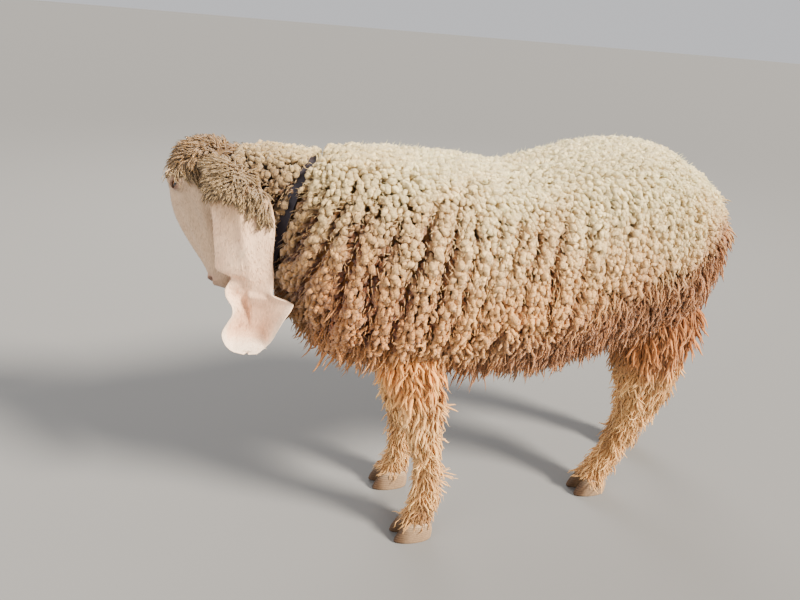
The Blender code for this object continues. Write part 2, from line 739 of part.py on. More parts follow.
def shank_object(name):
    """The lower part of a leg, from the knee or hock to the coronet."""
    joint = KNEE if "fore" in name else HOCK
    return build_node("shank_" + name, leg_pieces(name),
                      carve=[leg_parting(joint - GAP / 2, 1), leg_parting(HOOF_TOP + GAP, -1)])


def hoof_pieces(name):
    """A cloven hoof, flat on the floor."""
    x, y, _, _, _ = leg_rows(name)[-1]
    rings = []
    for z, size in HEEL:
        ring = []
        for i in range(CLAW_SIDES):
            along, across = oval(math.tau * i / CLAW_SIDES, LEG_POWER)
            ring.append(Vector((x + HEEL_BACK + HEEL_HALF_LENGTH * size * along,
                                y + HEEL_HALF_WIDTH * size * across, z)))
        rings.append(ring)
    pieces = [loft("heel", rings)]
    for side in (-1, 1):
        rings = []
        for z, front, back, wide in CLAW:
            ring = []
            for i in range(CLAW_SIDES):
                along, across = oval(math.tau * i / CLAW_SIDES, CLAW_POWER)
                reach = front if along < 0 else back
                taper = 1.0 - CLAW_TAPER * max(0.0, -along) ** 2
                ring.append(Vector((x + reach * along, y + side * (CLAW_HALF_WIDTH + CLEFT / 2)
                                    + CLAW_HALF_WIDTH * wide * taper * across, z)))
            rings.append(ring)
        pieces.append(loft("claw", rings))
    return pieces


def tail_pieces():
    """The hanging tail with its tiers of locks."""
    rng = random.Random(14)
    rings = []
    for step, (x, z, half_x, half_y) in enumerate(TAIL):
        before = TAIL[max(step - 1, 0)]
        after = TAIL[min(step + 1, len(TAIL) - 1)]
        run = Vector((after[0] - before[0], 0.0, after[1] - before[1])).normalized()
        out = Vector((-run.z, 0.0, run.x))
        ring = []
        for i in range(8):
            along, across = oval(math.tau * i / 8, 2.0)
            ring.append(Vector((x, TAIL_Y, z)) + out * half_x * along
                        + Vector((0.0, half_y * across, 0.0)))
        rings.append(ring)
    pieces = [loft("tail", rings)]
    heights = [row[1] for row in reversed(TAIL)]
    for z, count in TAIL_LOCKS:
        x, half_x, half_y = (float(np.interp(z, heights, [row[k] for row in reversed(TAIL)]))
                             for k in (0, 2, 3))
        for i in range(count):
            angle = math.radians(-80.0 + 160.0 * i / (count - 1))
            normal = Vector((math.cos(angle), math.sin(angle), 0.0))
            place = Vector((x + half_x * normal.x, TAIL_Y + half_y * normal.y, z))
            pieces.append(lock(place, normal, -UP + BACK * 0.1, 0.070 * rng.uniform(0.85, 1.15), 0.017,
                               0.012, 0.008, 0.008, rng.uniform(-0.008, 0.008)))
    return pieces


def collar_piece():
    """A flat band round the neck, pressed into the wool."""
    x, y, z, half_height, half_width, lean, turn = NECK[0]
    forward, left, up = body_axes(lean, turn)
    points = []
    for run, out in ((-1, 0), (1, 0), (1, 1), (-1, 1)):
        for i in range(COLLAR_SIDES):
            across, upward = oval(math.tau * i / COLLAR_SIDES, BODY_POWER)
            reach = COLLAR_THICK * out - COLLAR_INSET
            points.append(Vector((x, y, z)) + forward * run * COLLAR_WIDTH / 2
                          + left * (half_width + reach) * across + up * (half_height + reach) * upward)
    faces = []
    for side in range(4):
        for i in range(COLLAR_SIDES):
            j = (i + 1) % COLLAR_SIDES
            low = side * COLLAR_SIDES
            high = (side + 1) % 4 * COLLAR_SIDES
            faces.append((low + i, low + j, high + j))
            faces.append((low + i, high + j, high + i))
    return mesh_of("collar", points, faces)


def half_space(side):
    """A large block on one side of the parting between the trunk and the neck."""
    x, y, z, _, _, lean, turn = NECK[0]
    forward, left, up = body_axes(lean, turn)
    size = 0.6
    rings = []
    for depth in (-GAP / 2, size):
        middle = Vector((x, y, z)) - forward * side * depth
        rings.append([middle + left * size * a + up * size * b
                      for a, b in ((1, 1), (1, -1), (-1, -1), (-1, 1))])
    return loft("half_space", rings)


def grown(mesh, margin=GAP):
    """A copy of a closed mesh whose every face lies a margin further out."""
    shape = bmesh.new()
    shape.from_mesh(mesh)
    moves = []
    for vertex in shape.verts:
        normals = np.array([face.normal for face in vertex.link_faces])
        move = np.linalg.lstsq(normals, np.ones(len(normals)), rcond=0.05)[0]
        least = max(float((normals @ move).min()), 0.2)
        moves.append(Vector(move * (margin / least)))
    for vertex, move in zip(shape.verts, moves):
        vertex.co += move
    larger = bpy.data.meshes.new("grown")
    shape.to_mesh(larger)
    shape.free()
    return larger


def combine(obj, meshes, operation, solver="EXACT"):
    """Apply one Boolean of the object with a collection of closed meshes."""
    collection = bpy.data.collections.new("operands")
    for mesh in meshes:
        collection.objects.link(bpy.data.objects.new("operand", mesh))
    modifier = obj.modifiers.new("Boolean", "BOOLEAN")
    modifier.operation = operation
    modifier.operand_type = "COLLECTION"
    modifier.collection = collection
    modifier.solver = solver
    graph = bpy.context.evaluated_depsgraph_get()
    result = bpy.data.meshes.new_from_object(obj.evaluated_get(graph), depsgraph=graph)
    obj.modifiers.clear()
    obj.data = result
    for operand in list(collection.objects):
        bpy.data.objects.remove(operand, do_unlink=True)
    bpy.data.collections.remove(collection)


def close_short_edges(shape):
    """Collapse the edges of a mesh of triangles that are too short, where it stays closed."""
    for edge in [e for e in shape.edges if e.calc_length() < SHORT]:
        if not edge.is_valid or edge.calc_length() >= SHORT:
            continue
        a, b = edge.verts
        around_a = {e.other_vert(a) for e in a.link_edges}
        around_b = {e.other_vert(b) for e in b.link_edges}
        if len(around_a & around_b) == 2:
            bmesh.ops.pointmerge(shape, verts=[a, b], merge_co=(a.co + b.co) / 2)


def keep_largest(obj):
    """Keep only the closed surface of the object that holds the most, with its flats merged."""
    shape = bmesh.new()
    shape.from_mesh(obj.data)
    bmesh.ops.dissolve_limit(shape, angle_limit=math.radians(FLAT), verts=shape.verts, edges=shape.edges)
    bmesh.ops.triangulate(shape, faces=shape.faces)
    close_short_edges(shape)
    unseen = set(shape.faces)
    best, best_volume = set(), -1.0
    while unseen:
        stack = [unseen.pop()]
        group = set(stack)
        while stack:
            for edge in stack.pop().edges:
                for other in edge.link_faces:
                    if other in unseen:
                        unseen.remove(other)
                        group.add(other)
                        stack.append(other)
        corners = [[v.co for v in face.verts] for face in group]
        volume = abs(sum(a.dot(b.cross(c)) for a, b, c in corners))
        if volume > best_volume:
            best, best_volume = group, volume
    bmesh.ops.delete(shape, geom=[f for f in shape.faces if f not in best], context="FACES")
    shape.to_mesh(obj.data)
    shape.free()


def build_node(name, pieces, neighbours=(), carve=(), solver="EXACT"):
    """One named body: its pieces fused, then cut clear of its neighbours."""
    obj = bpy.data.objects.new(name, pieces[0].copy())
    bpy.context.scene.collection.objects.link(obj)
    if len(pieces) > 1:
        combine(obj, pieces[1:], "UNION", solver)
    cutters = [grown(mesh) for mesh in neighbours] + list(carve)
    if cutters:
        combine(obj, cutters, "DIFFERENCE", solver)
    keep_largest(obj)
    return obj


def finish(objects, material):
    """Give the nodes their material and place, and shade their rounds smooth."""
    for obj in objects:
        obj.data.materials.clear()
        obj.data.materials.append(material)
        obj.data.transform(Matrix.Translation(-FOOTPRINT_MIDDLE))
        obj.data.shade_smooth()
        obj.data.set_sharp_from_angle(angle=math.radians(50.0))


def build():
    """Build every node of the sheep."""
    clear_scene()
    sides = (("left", 1.0), ("right", -1.0))
    ears = {name: ear_piece(side) for name, side in sides}
    eyes = {name: eye_piece(side) for name, side in sides}
    legs = {name: leg_pieces(name) for name in LEGS}
    hooves = {name: hoof_pieces(name) for name in LEGS}
    tail = tail_pieces()
    collar = collar_piece()
    head = [skull_piece()] + poll_wool() + [lids_piece(side) for _, side in sides]
    openings = [mouth_line()]
    for _, side in sides:
        openings += [lid_slit(side), nostril(side)]
    leg_meshes = [mesh for pieces in legs.values() for mesh in pieces]

    wool = [build_node("torso", torso_pieces(), leg_meshes + tail + [collar] + list(ears.values()),
                       [half_space(-1.0)]),
            build_node("neck", neck_pieces(), head + [collar] + list(ears.values()), [half_space(1.0)]),
            build_node("tail", tail)]
    finish(wool, coat("fleece", (0.78, 0.70, 0.55), 0.95))
    finish([build_node("head", head, list(ears.values()) + list(eyes.values()), openings)],
           coat("short_hair", (0.72, 0.60, 0.50), 0.85))
    finish([leg_object(name) for name in LEGS] + [shank_object(name) for name in LEGS],
           coat("leg_wool", (0.62, 0.46, 0.30), 0.95))
    finish([build_node("ear_" + name, [ears[name]]) for name in ears],
           coat("ear_skin", (0.80, 0.66, 0.58), 0.70))
    finish([build_node("eye_" + name, [eyes[name]]) for name in eyes],
           coat("eye", (0.05, 0.03, 0.02), 0.10))
    finish([build_node("hoof_" + name, hooves[name]) for name in LEGS],
           coat("hoof_horn", (0.20, 0.14, 0.10), 0.50))
    finish([build_node("collar", [collar])], coat("collar_webbing", (0.05, 0.04, 0.05), 0.80))


build()
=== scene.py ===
"""The looks of a standing Kajli sheep: skin, curled fleece, shaggy legs, lop ears and hooves."""

from functools import partial
import json
import math

import bpy
import bmesh
import numpy as np
from mathutils import Matrix, Vector
from mathutils.kdtree import KDTree

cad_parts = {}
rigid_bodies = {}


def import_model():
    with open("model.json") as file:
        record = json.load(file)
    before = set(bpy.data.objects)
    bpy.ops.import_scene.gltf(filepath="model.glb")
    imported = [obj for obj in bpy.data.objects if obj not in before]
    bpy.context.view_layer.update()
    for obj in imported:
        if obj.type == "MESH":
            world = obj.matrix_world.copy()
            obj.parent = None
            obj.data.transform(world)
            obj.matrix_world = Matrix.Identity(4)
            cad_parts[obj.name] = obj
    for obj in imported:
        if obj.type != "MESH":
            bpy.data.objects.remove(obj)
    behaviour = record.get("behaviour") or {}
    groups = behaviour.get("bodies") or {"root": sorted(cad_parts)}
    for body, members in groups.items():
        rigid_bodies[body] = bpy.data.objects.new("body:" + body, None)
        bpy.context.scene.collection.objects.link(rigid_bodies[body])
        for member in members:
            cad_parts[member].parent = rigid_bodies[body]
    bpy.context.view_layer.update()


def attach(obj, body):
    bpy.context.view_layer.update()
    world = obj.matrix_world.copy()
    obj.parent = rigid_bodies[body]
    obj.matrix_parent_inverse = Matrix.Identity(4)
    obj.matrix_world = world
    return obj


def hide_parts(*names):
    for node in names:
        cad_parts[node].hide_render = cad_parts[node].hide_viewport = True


MIDDLE = np.array([0.161, 0.0308, 0.0])
UP = np.array([0.0, 0.0, 1.0])
BACK = np.array([1.0, 0.0, 0.0])
TURN = 2.0 * math.pi

# The camera, in the model's frame.
CAMERA_PLACE = (-0.562, -1.0613, 1.0)
CAMERA_RIGHT = (0.9482, -0.3081, 0.0778)
CAMERA_UP = (0.0571, 0.4062, 0.912)
CAMERA_FORWARD = (0.3126, 0.8602, -0.4028)
CAMERA_LENS = 27.95
SENSOR_WIDTH = 36.0

# The forms below are in the sheep's own frame, which the model's is MIDDLE away from.
# The trunk and neck, rump first: middle x, y, z, half height, half width, lean and turn in degrees.
TRUNK = [
    (0.680, 0.030, 0.600, 0.030, 0.030, 0.0, 0.0),
    (0.670, 0.030, 0.603, 0.085, 0.080, 0.0, 0.0),
    (0.648, 0.030, 0.605, 0.125, 0.120, 0.0, 0.0),
    (0.615, 0.030, 0.602, 0.158, 0.148, 0.0, 0.0),
    (0.565, 0.030, 0.603, 0.185, 0.170, 0.0, 0.0),
    (0.500, 0.028, 0.610, 0.208, 0.181, 0.0, 0.0),
    (0.420, 0.025, 0.612, 0.215, 0.187, 0.0, 0.0),
    (0.330, 0.020, 0.599, 0.219, 0.192, 0.0, 0.0),
    (0.240, 0.015, 0.582, 0.214, 0.194, 0.0, 0.0),
    (0.160, 0.010, 0.579, 0.204, 0.190, 0.0, 0.0),
    (0.080, 0.005, 0.590, 0.203, 0.182, 0.0, 0.0),
    (0.000, 0.000, 0.600, 0.202, 0.172, 0.0, 0.0),
    (-0.070, 0.000, 0.608, 0.198, 0.160, 5.0, 4.0),
    (-0.130, 0.005, 0.620, 0.188, 0.145, 8.0, 12.0),
    (-0.180, 0.022, 0.644, 0.163, 0.118, 12.0, 22.0),
    (-0.222, 0.050, 0.668, 0.132, 0.086, 18.0, 28.0),
    (-0.262, 0.072, 0.690, 0.112, 0.075, 24.0, 28.0),
    (-0.305, 0.094, 0.708, 0.095, 0.067, 26.0, 26.0),
    (-0.348, 0.114, 0.720, 0.070, 0.055, 26.0, 24.0),
]
COLLAR_ROW = 15
BODY_POWER = 2.3
HEAD_TURN = 22.0
HEAD_TUCK = 10.0
POLL = np.array([-0.374, 0.129, 0.784])
HEAD_POWER = 2.15
# The skull: distance below the poll, reach to the front and to the back, half width.
SKULL = [
    (-0.012, 0.012, 0.012, 0.014),
    (-0.006, 0.034, 0.032, 0.038),
    (0.012, 0.052, 0.052, 0.053),
    (0.034, 0.062, 0.062, 0.058),
    (0.056, 0.069, 0.068, 0.057),
    (0.078, 0.073, 0.070, 0.053),
    (0.100, 0.075, 0.068, 0.049),
    (0.122, 0.074, 0.062, 0.044),
    (0.144, 0.070, 0.055, 0.040),
    (0.166, 0.064, 0.048, 0.037),
    (0.188, 0.057, 0.043, 0.035),
    (0.210, 0.049, 0.039, 0.034),
    (0.230, 0.042, 0.036, 0.034),
    (0.246, 0.037, 0.033, 0.033),
    (0.258, 0.031, 0.029, 0.030),
    (0.266, 0.021, 0.022, 0.023),
    (0.270, 0.009, 0.010, 0.011),
]
# The face's relief: distance below the poll, turn upwards in degrees, spread in each, height.
SWELLS = {
    "cheek": (0.096, -26.0, 0.040, 30.0, 0.011),
    "brow": (0.046, 36.0, 0.020, 22.0, 0.008),
    "hollow below the eye": (0.112, 22.0, 0.026, 24.0, -0.005),
    "jaw edge": (0.120, -62.0, 0.050, 16.0, 0.005),
    "nostril wing": (0.247, 48.0, 0.013, 18.0, 0.004),
    "upper lip": (0.250, 6.0, 0.014, 22.0, 0.0045),
    "lower lip": (0.243, -60.0, 0.012, 26.0, 0.0030),
    "chin": (0.236, -84.0, 0.014, 30.0, 0.0045),
    "tear pit": (0.080, 44.0, 0.008, 8.0, -0.0030),
    "facial crest": (0.122, 4.0, 0.036, 8.0, 0.0046),
    "hollow under the crest": (0.138, -14.0, 0.030, 12.0, -0.0034),
    "hollow beside the nose": (0.150, 50.0, 0.052, 11.0, -0.0034),
    "bridge of the nose": (0.130, 90.0, 0.070, 24.0, 0.0045),
    "temple": (0.058, -4.0, 0.014, 13.0, -0.0035),
    "brow edge": (0.040, 50.0, 0.012, 16.0, 0.0035),
    "hollow under the jaw": (0.160, -90.0, 0.060, 24.0, -0.0060),
    "hollow behind the lips": (0.215, -8.0, 0.020, 20.0, -0.0022),
    "groove of the nose": (0.256, 90.0, 0.016, 7.0, -0.0022),
}
# The line of the mouth, and the nostrils by distance below the poll and out from the middle.
MOUTH_TIP = 0.2720
MOUTH_LENGTH = 0.064
MOUTH_START = -0.003
MOUTH_DROP = 0.019
NOSTRIL_DOWN = 0.249
NOSTRIL_OUT = 0.0215
NOSTRIL_SLANT = 32.0

# The legs from the top down: middle x, y, z and half size along and across.
FORE_LEG = [
    (-0.020, -0.078, 0.500, 0.046, 0.038),
    (-0.020, -0.084, 0.440, 0.050, 0.041),
    (-0.016, -0.087, 0.395, 0.046, 0.039),
    (-0.002, -0.087, 0.350, 0.036, 0.034),
    (0.008, -0.087, 0.300, 0.031, 0.030),
    (0.018, -0.086, 0.250, 0.031, 0.029),
    (0.028, -0.085, 0.200, 0.028, 0.026),
    (0.034, -0.085, 0.150, 0.026, 0.025),
    (0.036, -0.085, 0.100, 0.029, 0.028),
    (0.028, -0.085, 0.065, 0.029, 0.028),
    (0.018, -0.085, 0.041, 0.031, 0.030),
]
NEAR_HIND_LEG = [
    (0.560, -0.060, 0.520, 0.068, 0.046),
    (0.552, -0.065, 0.460, 0.076, 0.053),
    (0.541, -0.065, 0.400, 0.074, 0.050),
    (0.549, -0.062, 0.350, 0.070, 0.044),
    (0.562, -0.058, 0.300, 0.062, 0.038),
    (0.565, -0.053, 0.250, 0.054, 0.035),
    (0.552, -0.050, 0.200, 0.041, 0.031),
    (0.534, -0.047, 0.140, 0.031, 0.027),
    (0.514, -0.045, 0.090, 0.031, 0.028),
    (0.498, -0.045, 0.062, 0.032, 0.029),
    (0.486, -0.045, 0.041, 0.034, 0.031),
]
FAR_HIND_LEG = [
    (0.575, 0.112, 0.520, 0.068, 0.046),
    (0.582, 0.117, 0.460, 0.076, 0.053),
    (0.606, 0.118, 0.400, 0.071, 0.050),
    (0.638, 0.115, 0.350, 0.064, 0.044),
    (0.672, 0.110, 0.300, 0.056, 0.039),
    (0.697, 0.105, 0.250, 0.047, 0.035),
    (0.705, 0.102, 0.200, 0.037, 0.031),
    (0.705, 0.100, 0.140, 0.030, 0.027),
    (0.700, 0.100, 0.090, 0.031, 0.028),
    (0.690, 0.100, 0.062, 0.032, 0.029),
    (0.681, 0.100, 0.041, 0.034, 0.031),
]
LEGS = {
    "fore_left": (FORE_LEG, 1.0),
    "fore_right": (FORE_LEG, -1.0),
    "hind_left": (NEAR_HIND_LEG, 1.0),
    "hind_right": (FAR_HIND_LEG, 1.0),
}
LEG_POWER = 2.2

# The hooves. A claw from the sole up: height, reach forwards and backwards, share of its width.
HOOF_TOP = 0.0427
CLAW_HALF_WIDTH = 0.0145
CLEFT = 0.004
GROWTH_LINE = 0.0052
CLAW = [
    (0.0, 0.048, 0.033, 1.00),
    (0.006, 0.049, 0.034, 1.05),
    (0.024, 0.040, 0.034, 1.06),
    (HOOF_TOP, 0.026, 0.029, 0.98),
    (HOOF_TOP + 0.004, 0.024, 0.027, 0.96),
]

# The tail: middle x and z, half thickness, half width.
TAIL_Y = 0.030
TAIL = [
    (0.625, 0.712, 0.014, 0.018),
    (0.659, 0.704, 0.020, 0.024),
    (0.686, 0.672, 0.021, 0.026),
    (0.701, 0.620, 0.019, 0.027),
    (0.708, 0.566, 0.016, 0.024),
    (0.712, 0.524, 0.010, 0.016),
    (0.713, 0.500, 0.004, 0.007),
]

# The last rows' places on the tables above.
LAST_PLACE, LAST_LEG, LAST_TAIL = (len(rows) - 1.0 for rows in (TRUNK, FORE_LEG, TAIL))

# The ears. An edge row holds the share of the length and the reach to the back and front edge.
EAR_LENGTH = 0.3257
EAR_THICK = 0.0050
EAR_DOWN = 0.035
EAR_BACK = 0.042
EAR_OUT = 0.044
EAR_STAND = 0.066
EAR_SWEEP = 0.055
EAR_LEAN = 0.018
EAR_BEND = 0.032
EAR_ROLL = 0.017
EAR_ROLL_REACH = 0.050
EAR_SCOOP = 0.034
EAR_EDGES = [
    (0.000, 0.016, 0.016),
    (0.084, 0.030, 0.030),
    (0.177, 0.050, 0.052),
    (0.344, 0.055, 0.050),
    (0.522, 0.047, 0.053),
    (0.590, 0.047, 0.056),
    (0.611, 0.047, 0.050),
    (0.626, 0.047, 0.034),
    (0.639, 0.047, 0.028),
    (0.663, 0.047, 0.033),
    (0.694, 0.048, 0.038),
    (0.706, 0.062, 0.037),
    (0.718, 0.083, 0.036),
    (0.731, 0.084, 0.033),
    (0.754, 0.080, 0.026),
    (0.778, 0.074, 0.022),
    (0.809, 0.067, 0.023),
    (0.856, 0.058, 0.033),
    (0.903, 0.049, 0.042),
    (0.934, 0.042, 0.042),
    (0.966, 0.032, 0.036),
    (0.984, 0.024, 0.028),
    (0.993, 0.017, 0.019),
    (1.000, 0.004, 0.004),
]

# The eyes and lids.
EYE_RADIUS = 0.0135
EYE_DOWN = 0.056
EYE_FRONT = 0.036
EYE_OUT = 0.0430
EYE_FORWARD = 18.0
SLIT_HALF_LENGTH = 0.0130
SLIT_HALF_HEIGHT = 0.0062
SLIT_TILT = 48.0
LID_RADIUS = 0.0158
LID_BLEND = 0.0050
LID_MARGIN = 0.0011
PUPIL_HALF_LENGTH = 0.0056
PUPIL_HALF_HEIGHT = 0.0017
IRIS_RADIUS = 0.0098

# The heads of curls on the flank: rows that slant forwards as they run down.
ROW_PITCH = 0.042
HEAD_PITCH = 0.025
ROW_SLANT = 0.13

# How deep the skin lies below the tips of the fleece on the trunk and on the neck.
SKIN_DEPTH = 0.029
NECK_DEPTH = 0.0235


def light(red, green, blue):
    """A colour given by its screen values, as linear light."""
    values = np.array([red, green, blue], dtype=float) / 255.0
    return np.where(values <= 0.04045, values / 12.92, ((values + 0.055) / 1.055) ** 2.4)


# The colours of the wool, the skin, the horn and the eyes.
CREAM = light(255, 234, 174)
TAN = light(248, 182, 100)
RUST = light(176, 112, 58)
LEG_TAN = light(242, 190, 120)
LEG_DIRT = light(136, 84, 42)
# The poll's wool: yellowish dirty wool, darkened further as painted shade.
SHADED_POLL_TINT = light(154, 116, 62)
FACE_TINT = light(200, 168, 136)
FACE_SHADE = light(150, 116, 92)
LID_TINT = light(112, 76, 62)
LIP_TINT = light(176, 128, 112)
EAR_TINT = light(250, 206, 168)
# The next two colours are painted light on the ears: shade in the lower cup and a highlight on the rim.
EAR_SHADE = light(196, 134, 98)
EAR_RIM_HIGHLIGHT = light(255, 234, 206)
EAR_GREY = light(150, 132, 116)
LASH = light(176, 150, 118)
HORN = light(150, 122, 94)
HORN_TOE = light(84, 62, 44)
HORN_TOP = light(186, 160, 128)
IRIS = light(112, 70, 32)
IRIS_EDGE = light(66, 38, 18)
PUPIL = light(12, 12, 18)
EYE_WHITE = light(150, 128, 116)
WEBBING = (0.020, 0.014, 0.022)
PAPER = (0.165, 0.1635, 0.160)

# How bright the roots of the strands are, as shares of their colour. The darker roots are painted shade deep
# in the coat, and on the fleece partly its browner inner wool.
ROOT_TINT = np.array([0.52, 0.36, 0.22])
LONG_ROOT = np.array([0.60, 0.46, 0.33])
WISP_ROOT = np.array([0.9, 0.86, 0.8])
LEG_ROOT = np.array([0.50, 0.36, 0.24])
LEG_HAIR_ROOT = np.array([0.75, 0.65, 0.52])
POLL_ROOT = np.array([0.45, 0.33, 0.22])
EAR_ROOT = np.array([0.55, 0.42, 0.30])
FACE_HAIR_ROOT = np.array([0.97, 0.95, 0.93])
EAR_HAIR_ROOT = np.array([0.97, 0.94, 0.92])

# The distance between strands, or their number, in the full build and in the quick one.
CURL_PITCH = (0.0076, 0.0150)
LONG_PITCH = (0.0100, 0.0170)
WISP_PITCH = (0.0087, 0.0180)
LEG_PITCH = (0.0092, 0.0092 * 1.7)
LEG_HAIR_PITCH = (0.0059, 0.0059 * 1.7)
TAIL_PITCH = (0.0066, 0.014)
POLL_PITCH = (0.0034, 0.011)
FACE_PITCH = (0.0040, 0.009)
FRINGE_COUNT = (900, 300)
CROWN_COUNT = (90, 20)
EAR_TUFTS = (1250, 160)
EAR_HAIRS = (1500, 300)
LASH_COUNT = 26

# Rows and columns of the grids: the skin's parts, those for finding a point's part, the samples
# that strands are spread by, and the columns of the hooves, the eyes and the lids.
TRUNK_GRID = (110, 64)
LEG_GRID = (44, 28)
TAIL_GRID = (40, 28)
HEAD_ROWS = ((-0.012, 0.030, 20), (0.030, 0.085, 60), (0.085, 0.200, 56), (0.200, 0.270, 96))
HEAD_COLUMNS = 240
EAR_GRID = (120, 44)
LONG_SEARCH = (90, 40)
LEG_SEARCH = (40, 40)
EAR_SEARCH = (70, 25)
SAMPLES = (400, 49)
HOOF_COLUMNS = 48
EYE_COLUMNS = 96
LID_COLUMNS = (96, 10)

# How far outside the surfaces of legs and tail their skin and the roots of their wool lie.
LEG_SKIN, LEG_ROOTS = -0.004, -0.003
TAIL_SKIN, TAIL_ROOTS = -0.001, -0.004
FLOOR_SIZE = 300.0

# The lights: name, kind, place, size, power and colour.
WORLD_COLOUR = (0.97, 0.97, 1.0, 1.0)
WORLD_STRENGTH = 0.72
LIGHTS_AIM = (0.0, 0.0, 0.45)
LIGHTS = (
    ("key", "SUN", (2.1, -2.0, 2.7), math.radians(12.0), 13.5, (1.0, 0.92, 0.80)),
    ("fill", "AREA", (-3.0, -1.2, 1.8), 2.5, 80.0, (1.0, 0.96, 0.92)),
    ("rim", "AREA", (0.4, 2.8, 3.0), 2.0, 140.0, (1.0, 0.98, 0.95)),
)

# Rings along a strand, as shares of its length, and its thickness at them.
CURL_RINGS, CURL_PROFILE = (0.0, 0.58, 0.78, 0.90, 1.0), (0.75, 1.05, 1.15, 1.02, 0.62)
LOCK_RINGS = (0.0, 0.22, 0.42, 0.60, 0.76, 0.90)
LONG_PROFILE = (0.80, 1.0, 0.95, 0.78, 0.56, 0.30)
LOCK_PROFILE = (0.80, 1.0, 0.92, 0.74, 0.50, 0.26)
LEG_RINGS, LEG_PROFILE = (0.0, 0.30, 0.60, 0.86), (0.80, 1.0, 0.82, 0.36)
TUFT_RINGS, TUFT_PROFILE = (0.0, 0.42, 0.76), (0.80, 1.0, 0.66)
HAIR_RINGS, HAIR_PROFILE, WISP_PROFILE = (0.0, 0.55), (1.0, 0.75), (1.0, 0.62)

# The coat's unwrap: each patch is about 0.003 across, and islands keep clear of the borders.
PATCH_HALF_WIDTH = 0.0014
PATCH_LENGTH = 0.0028
BORDER = 0.01
PIECE_LIMIT = 190000


# ---- forms ----

def unit(vectors):
    """The vectors at length one."""
    return vectors / np.maximum(np.linalg.norm(vectors, axis=-1, keepdims=True), 1e-12)


def circle(count):
    """Angles of a full turn in so many equal steps."""
    return TURN * np.arange(count) / count


def bell(distance, spread, power=2):
    """One where the distance is 0, falling to either side."""
    return np.exp(-(distance / spread) ** power)


def slit(along, cross, length, width):
    """One in the middle of a long narrow place, falling more steeply at its ends."""
    return np.exp(-(along / length) ** 4 - (cross / width) ** 2)


def stacked(*values):
    """Values, broadcast against one another, as the coordinates of points."""
    return np.stack(np.broadcast_arrays(*values), axis=-1)


def spline(rows, places):
    """Rows of a table at fractional places, on a smooth curve through them."""
    table = np.asarray(rows, dtype=float)
    places = np.asarray(places, dtype=float)
    index = np.clip(np.floor(places).astype(int), 0, len(table) - 2)
    t = (places - index)[..., None]
    before = table[np.maximum(index - 1, 0)]
    start = table[index]
    end = table[index + 1]
    after = table[np.minimum(index + 2, len(table) - 1)]
    return 0.5 * (2 * start + (end - before) * t + (2 * before - 5 * start + 4 * end - after) * t ** 2
                  + (3 * start - before - 3 * end + after) * t ** 3)


def oval(angles, power):
    """Sideways and upward reach of a rounded section."""
    c, s = np.cos(angles), np.sin(angles)
    return (np.sign(c) * np.abs(c) ** (2 / power), np.sign(s) * np.abs(s) ** (2 / power))


def body_axes(lean, turn):
    """Forward, left and up directions of body sections."""
    lean, turn = np.radians(lean)[..., None], np.radians(turn)[..., None]
    forward = -np.cos(turn) * BACK + np.sin(turn) * np.array([0.0, 1.0, 0.0])
    left = np.cross(UP, forward)
    up = UP * np.cos(lean) - forward * np.sin(lean)
    return forward * np.cos(lean) + UP * np.sin(lean), left, up


def body_points(places, angles, inset=0.0):
    """Points of the trunk's and neck's outer surface, or of one that lies deeper by the inset."""
    row = spline(TRUNK, places)
    _, left, up = body_axes(row[..., 5], row[..., 6])
    across, upward = oval(angles, BODY_POWER)
    high = np.maximum(row[..., 3] - inset, 0.004)
    wide = np.maximum(row[..., 4] - inset, 0.004)
    return row[..., :3] + left * (wide * across)[..., None] + up * (high * upward)[..., None]


def surface_normals(points_at, a, b, step_a=0.04, step_b=0.04):
    """Normals of a surface given by two parameters."""
    run = points_at(a + step_a, b) - points_at(a - step_a, b)
    turn = points_at(a, b + step_b) - points_at(a, b - step_b)
    return unit(np.cross(turn, run))


HEAD_FORWARD, HEAD_LEFT, _ = body_axes(np.array(0.0), np.array(HEAD_TURN))
HEAD_DOWN = -UP * math.cos(math.radians(HEAD_TUCK)) - HEAD_FORWARD * math.sin(math.radians(HEAD_TUCK))
HEAD_FRONT = HEAD_FORWARD * math.cos(math.radians(HEAD_TUCK)) - UP * math.sin(math.radians(HEAD_TUCK))


def head_place(down, front, out, side=1.0):
    """A point of the head by its distance below the poll, in front of and beside its axis."""
    down, front, out = (np.asarray(v, dtype=float)[..., None] for v in (down, front, out))
    return POLL + HEAD_DOWN * down + HEAD_FRONT * front + HEAD_LEFT * out * side


def table_at(table, first):
    """The row of a table whose first value this is, on a smooth curve through the rows."""
    table = np.asarray(table)
    return spline(table, np.interp(first, table[:, 0], np.arange(len(table))))


def mouth_line(downs, reach):
    """How far a place of the muzzle is from the line of the mouth, and whether it is beside it."""
    t = (MOUTH_START - reach) / MOUTH_DROP
    slope = np.sqrt(1.0 + (2 * MOUTH_LENGTH * t / MOUTH_DROP) ** 2)
    off = (downs - MOUTH_TIP + MOUTH_LENGTH * t * t) / slope
    return off, np.clip((t + 0.25) * 6, 0, 1) * np.clip((1.04 - t) * 10, 0, 1)


def nostril_place(downs, reach, out):
    """A place of the muzzle along and across the nearer nostril's slit."""
    slant = math.radians(NOSTRIL_SLANT)
    along = (downs - NOSTRIL_DOWN) * math.cos(slant) - (np.abs(out) - NOSTRIL_OUT) * math.sin(slant)
    cross = (downs - NOSTRIL_DOWN) * math.sin(slant) + (np.abs(out) - NOSTRIL_OUT) * math.cos(slant)
    return along, cross + 12.0 * along ** 2, np.clip(reach / 0.012, 0, 1)


def eye_frame(side):
    """The middle of an eye and its outward, lengthwise and upward directions."""
    look = math.radians(EYE_FORWARD)
    tilt = math.radians(SLIT_TILT)
    outward = HEAD_LEFT * side * math.cos(look) + HEAD_FRONT * math.sin(look)
    front = HEAD_FRONT * math.cos(look) - HEAD_LEFT * side * math.sin(look)
    long_way = HEAD_DOWN * math.cos(tilt) + front * math.sin(tilt)
    upward = np.cross(long_way, outward)
    upward = upward * np.sign(upward @ UP)
    return head_place(EYE_DOWN, EYE_FRONT, EYE_OUT, side), outward, long_way, upward


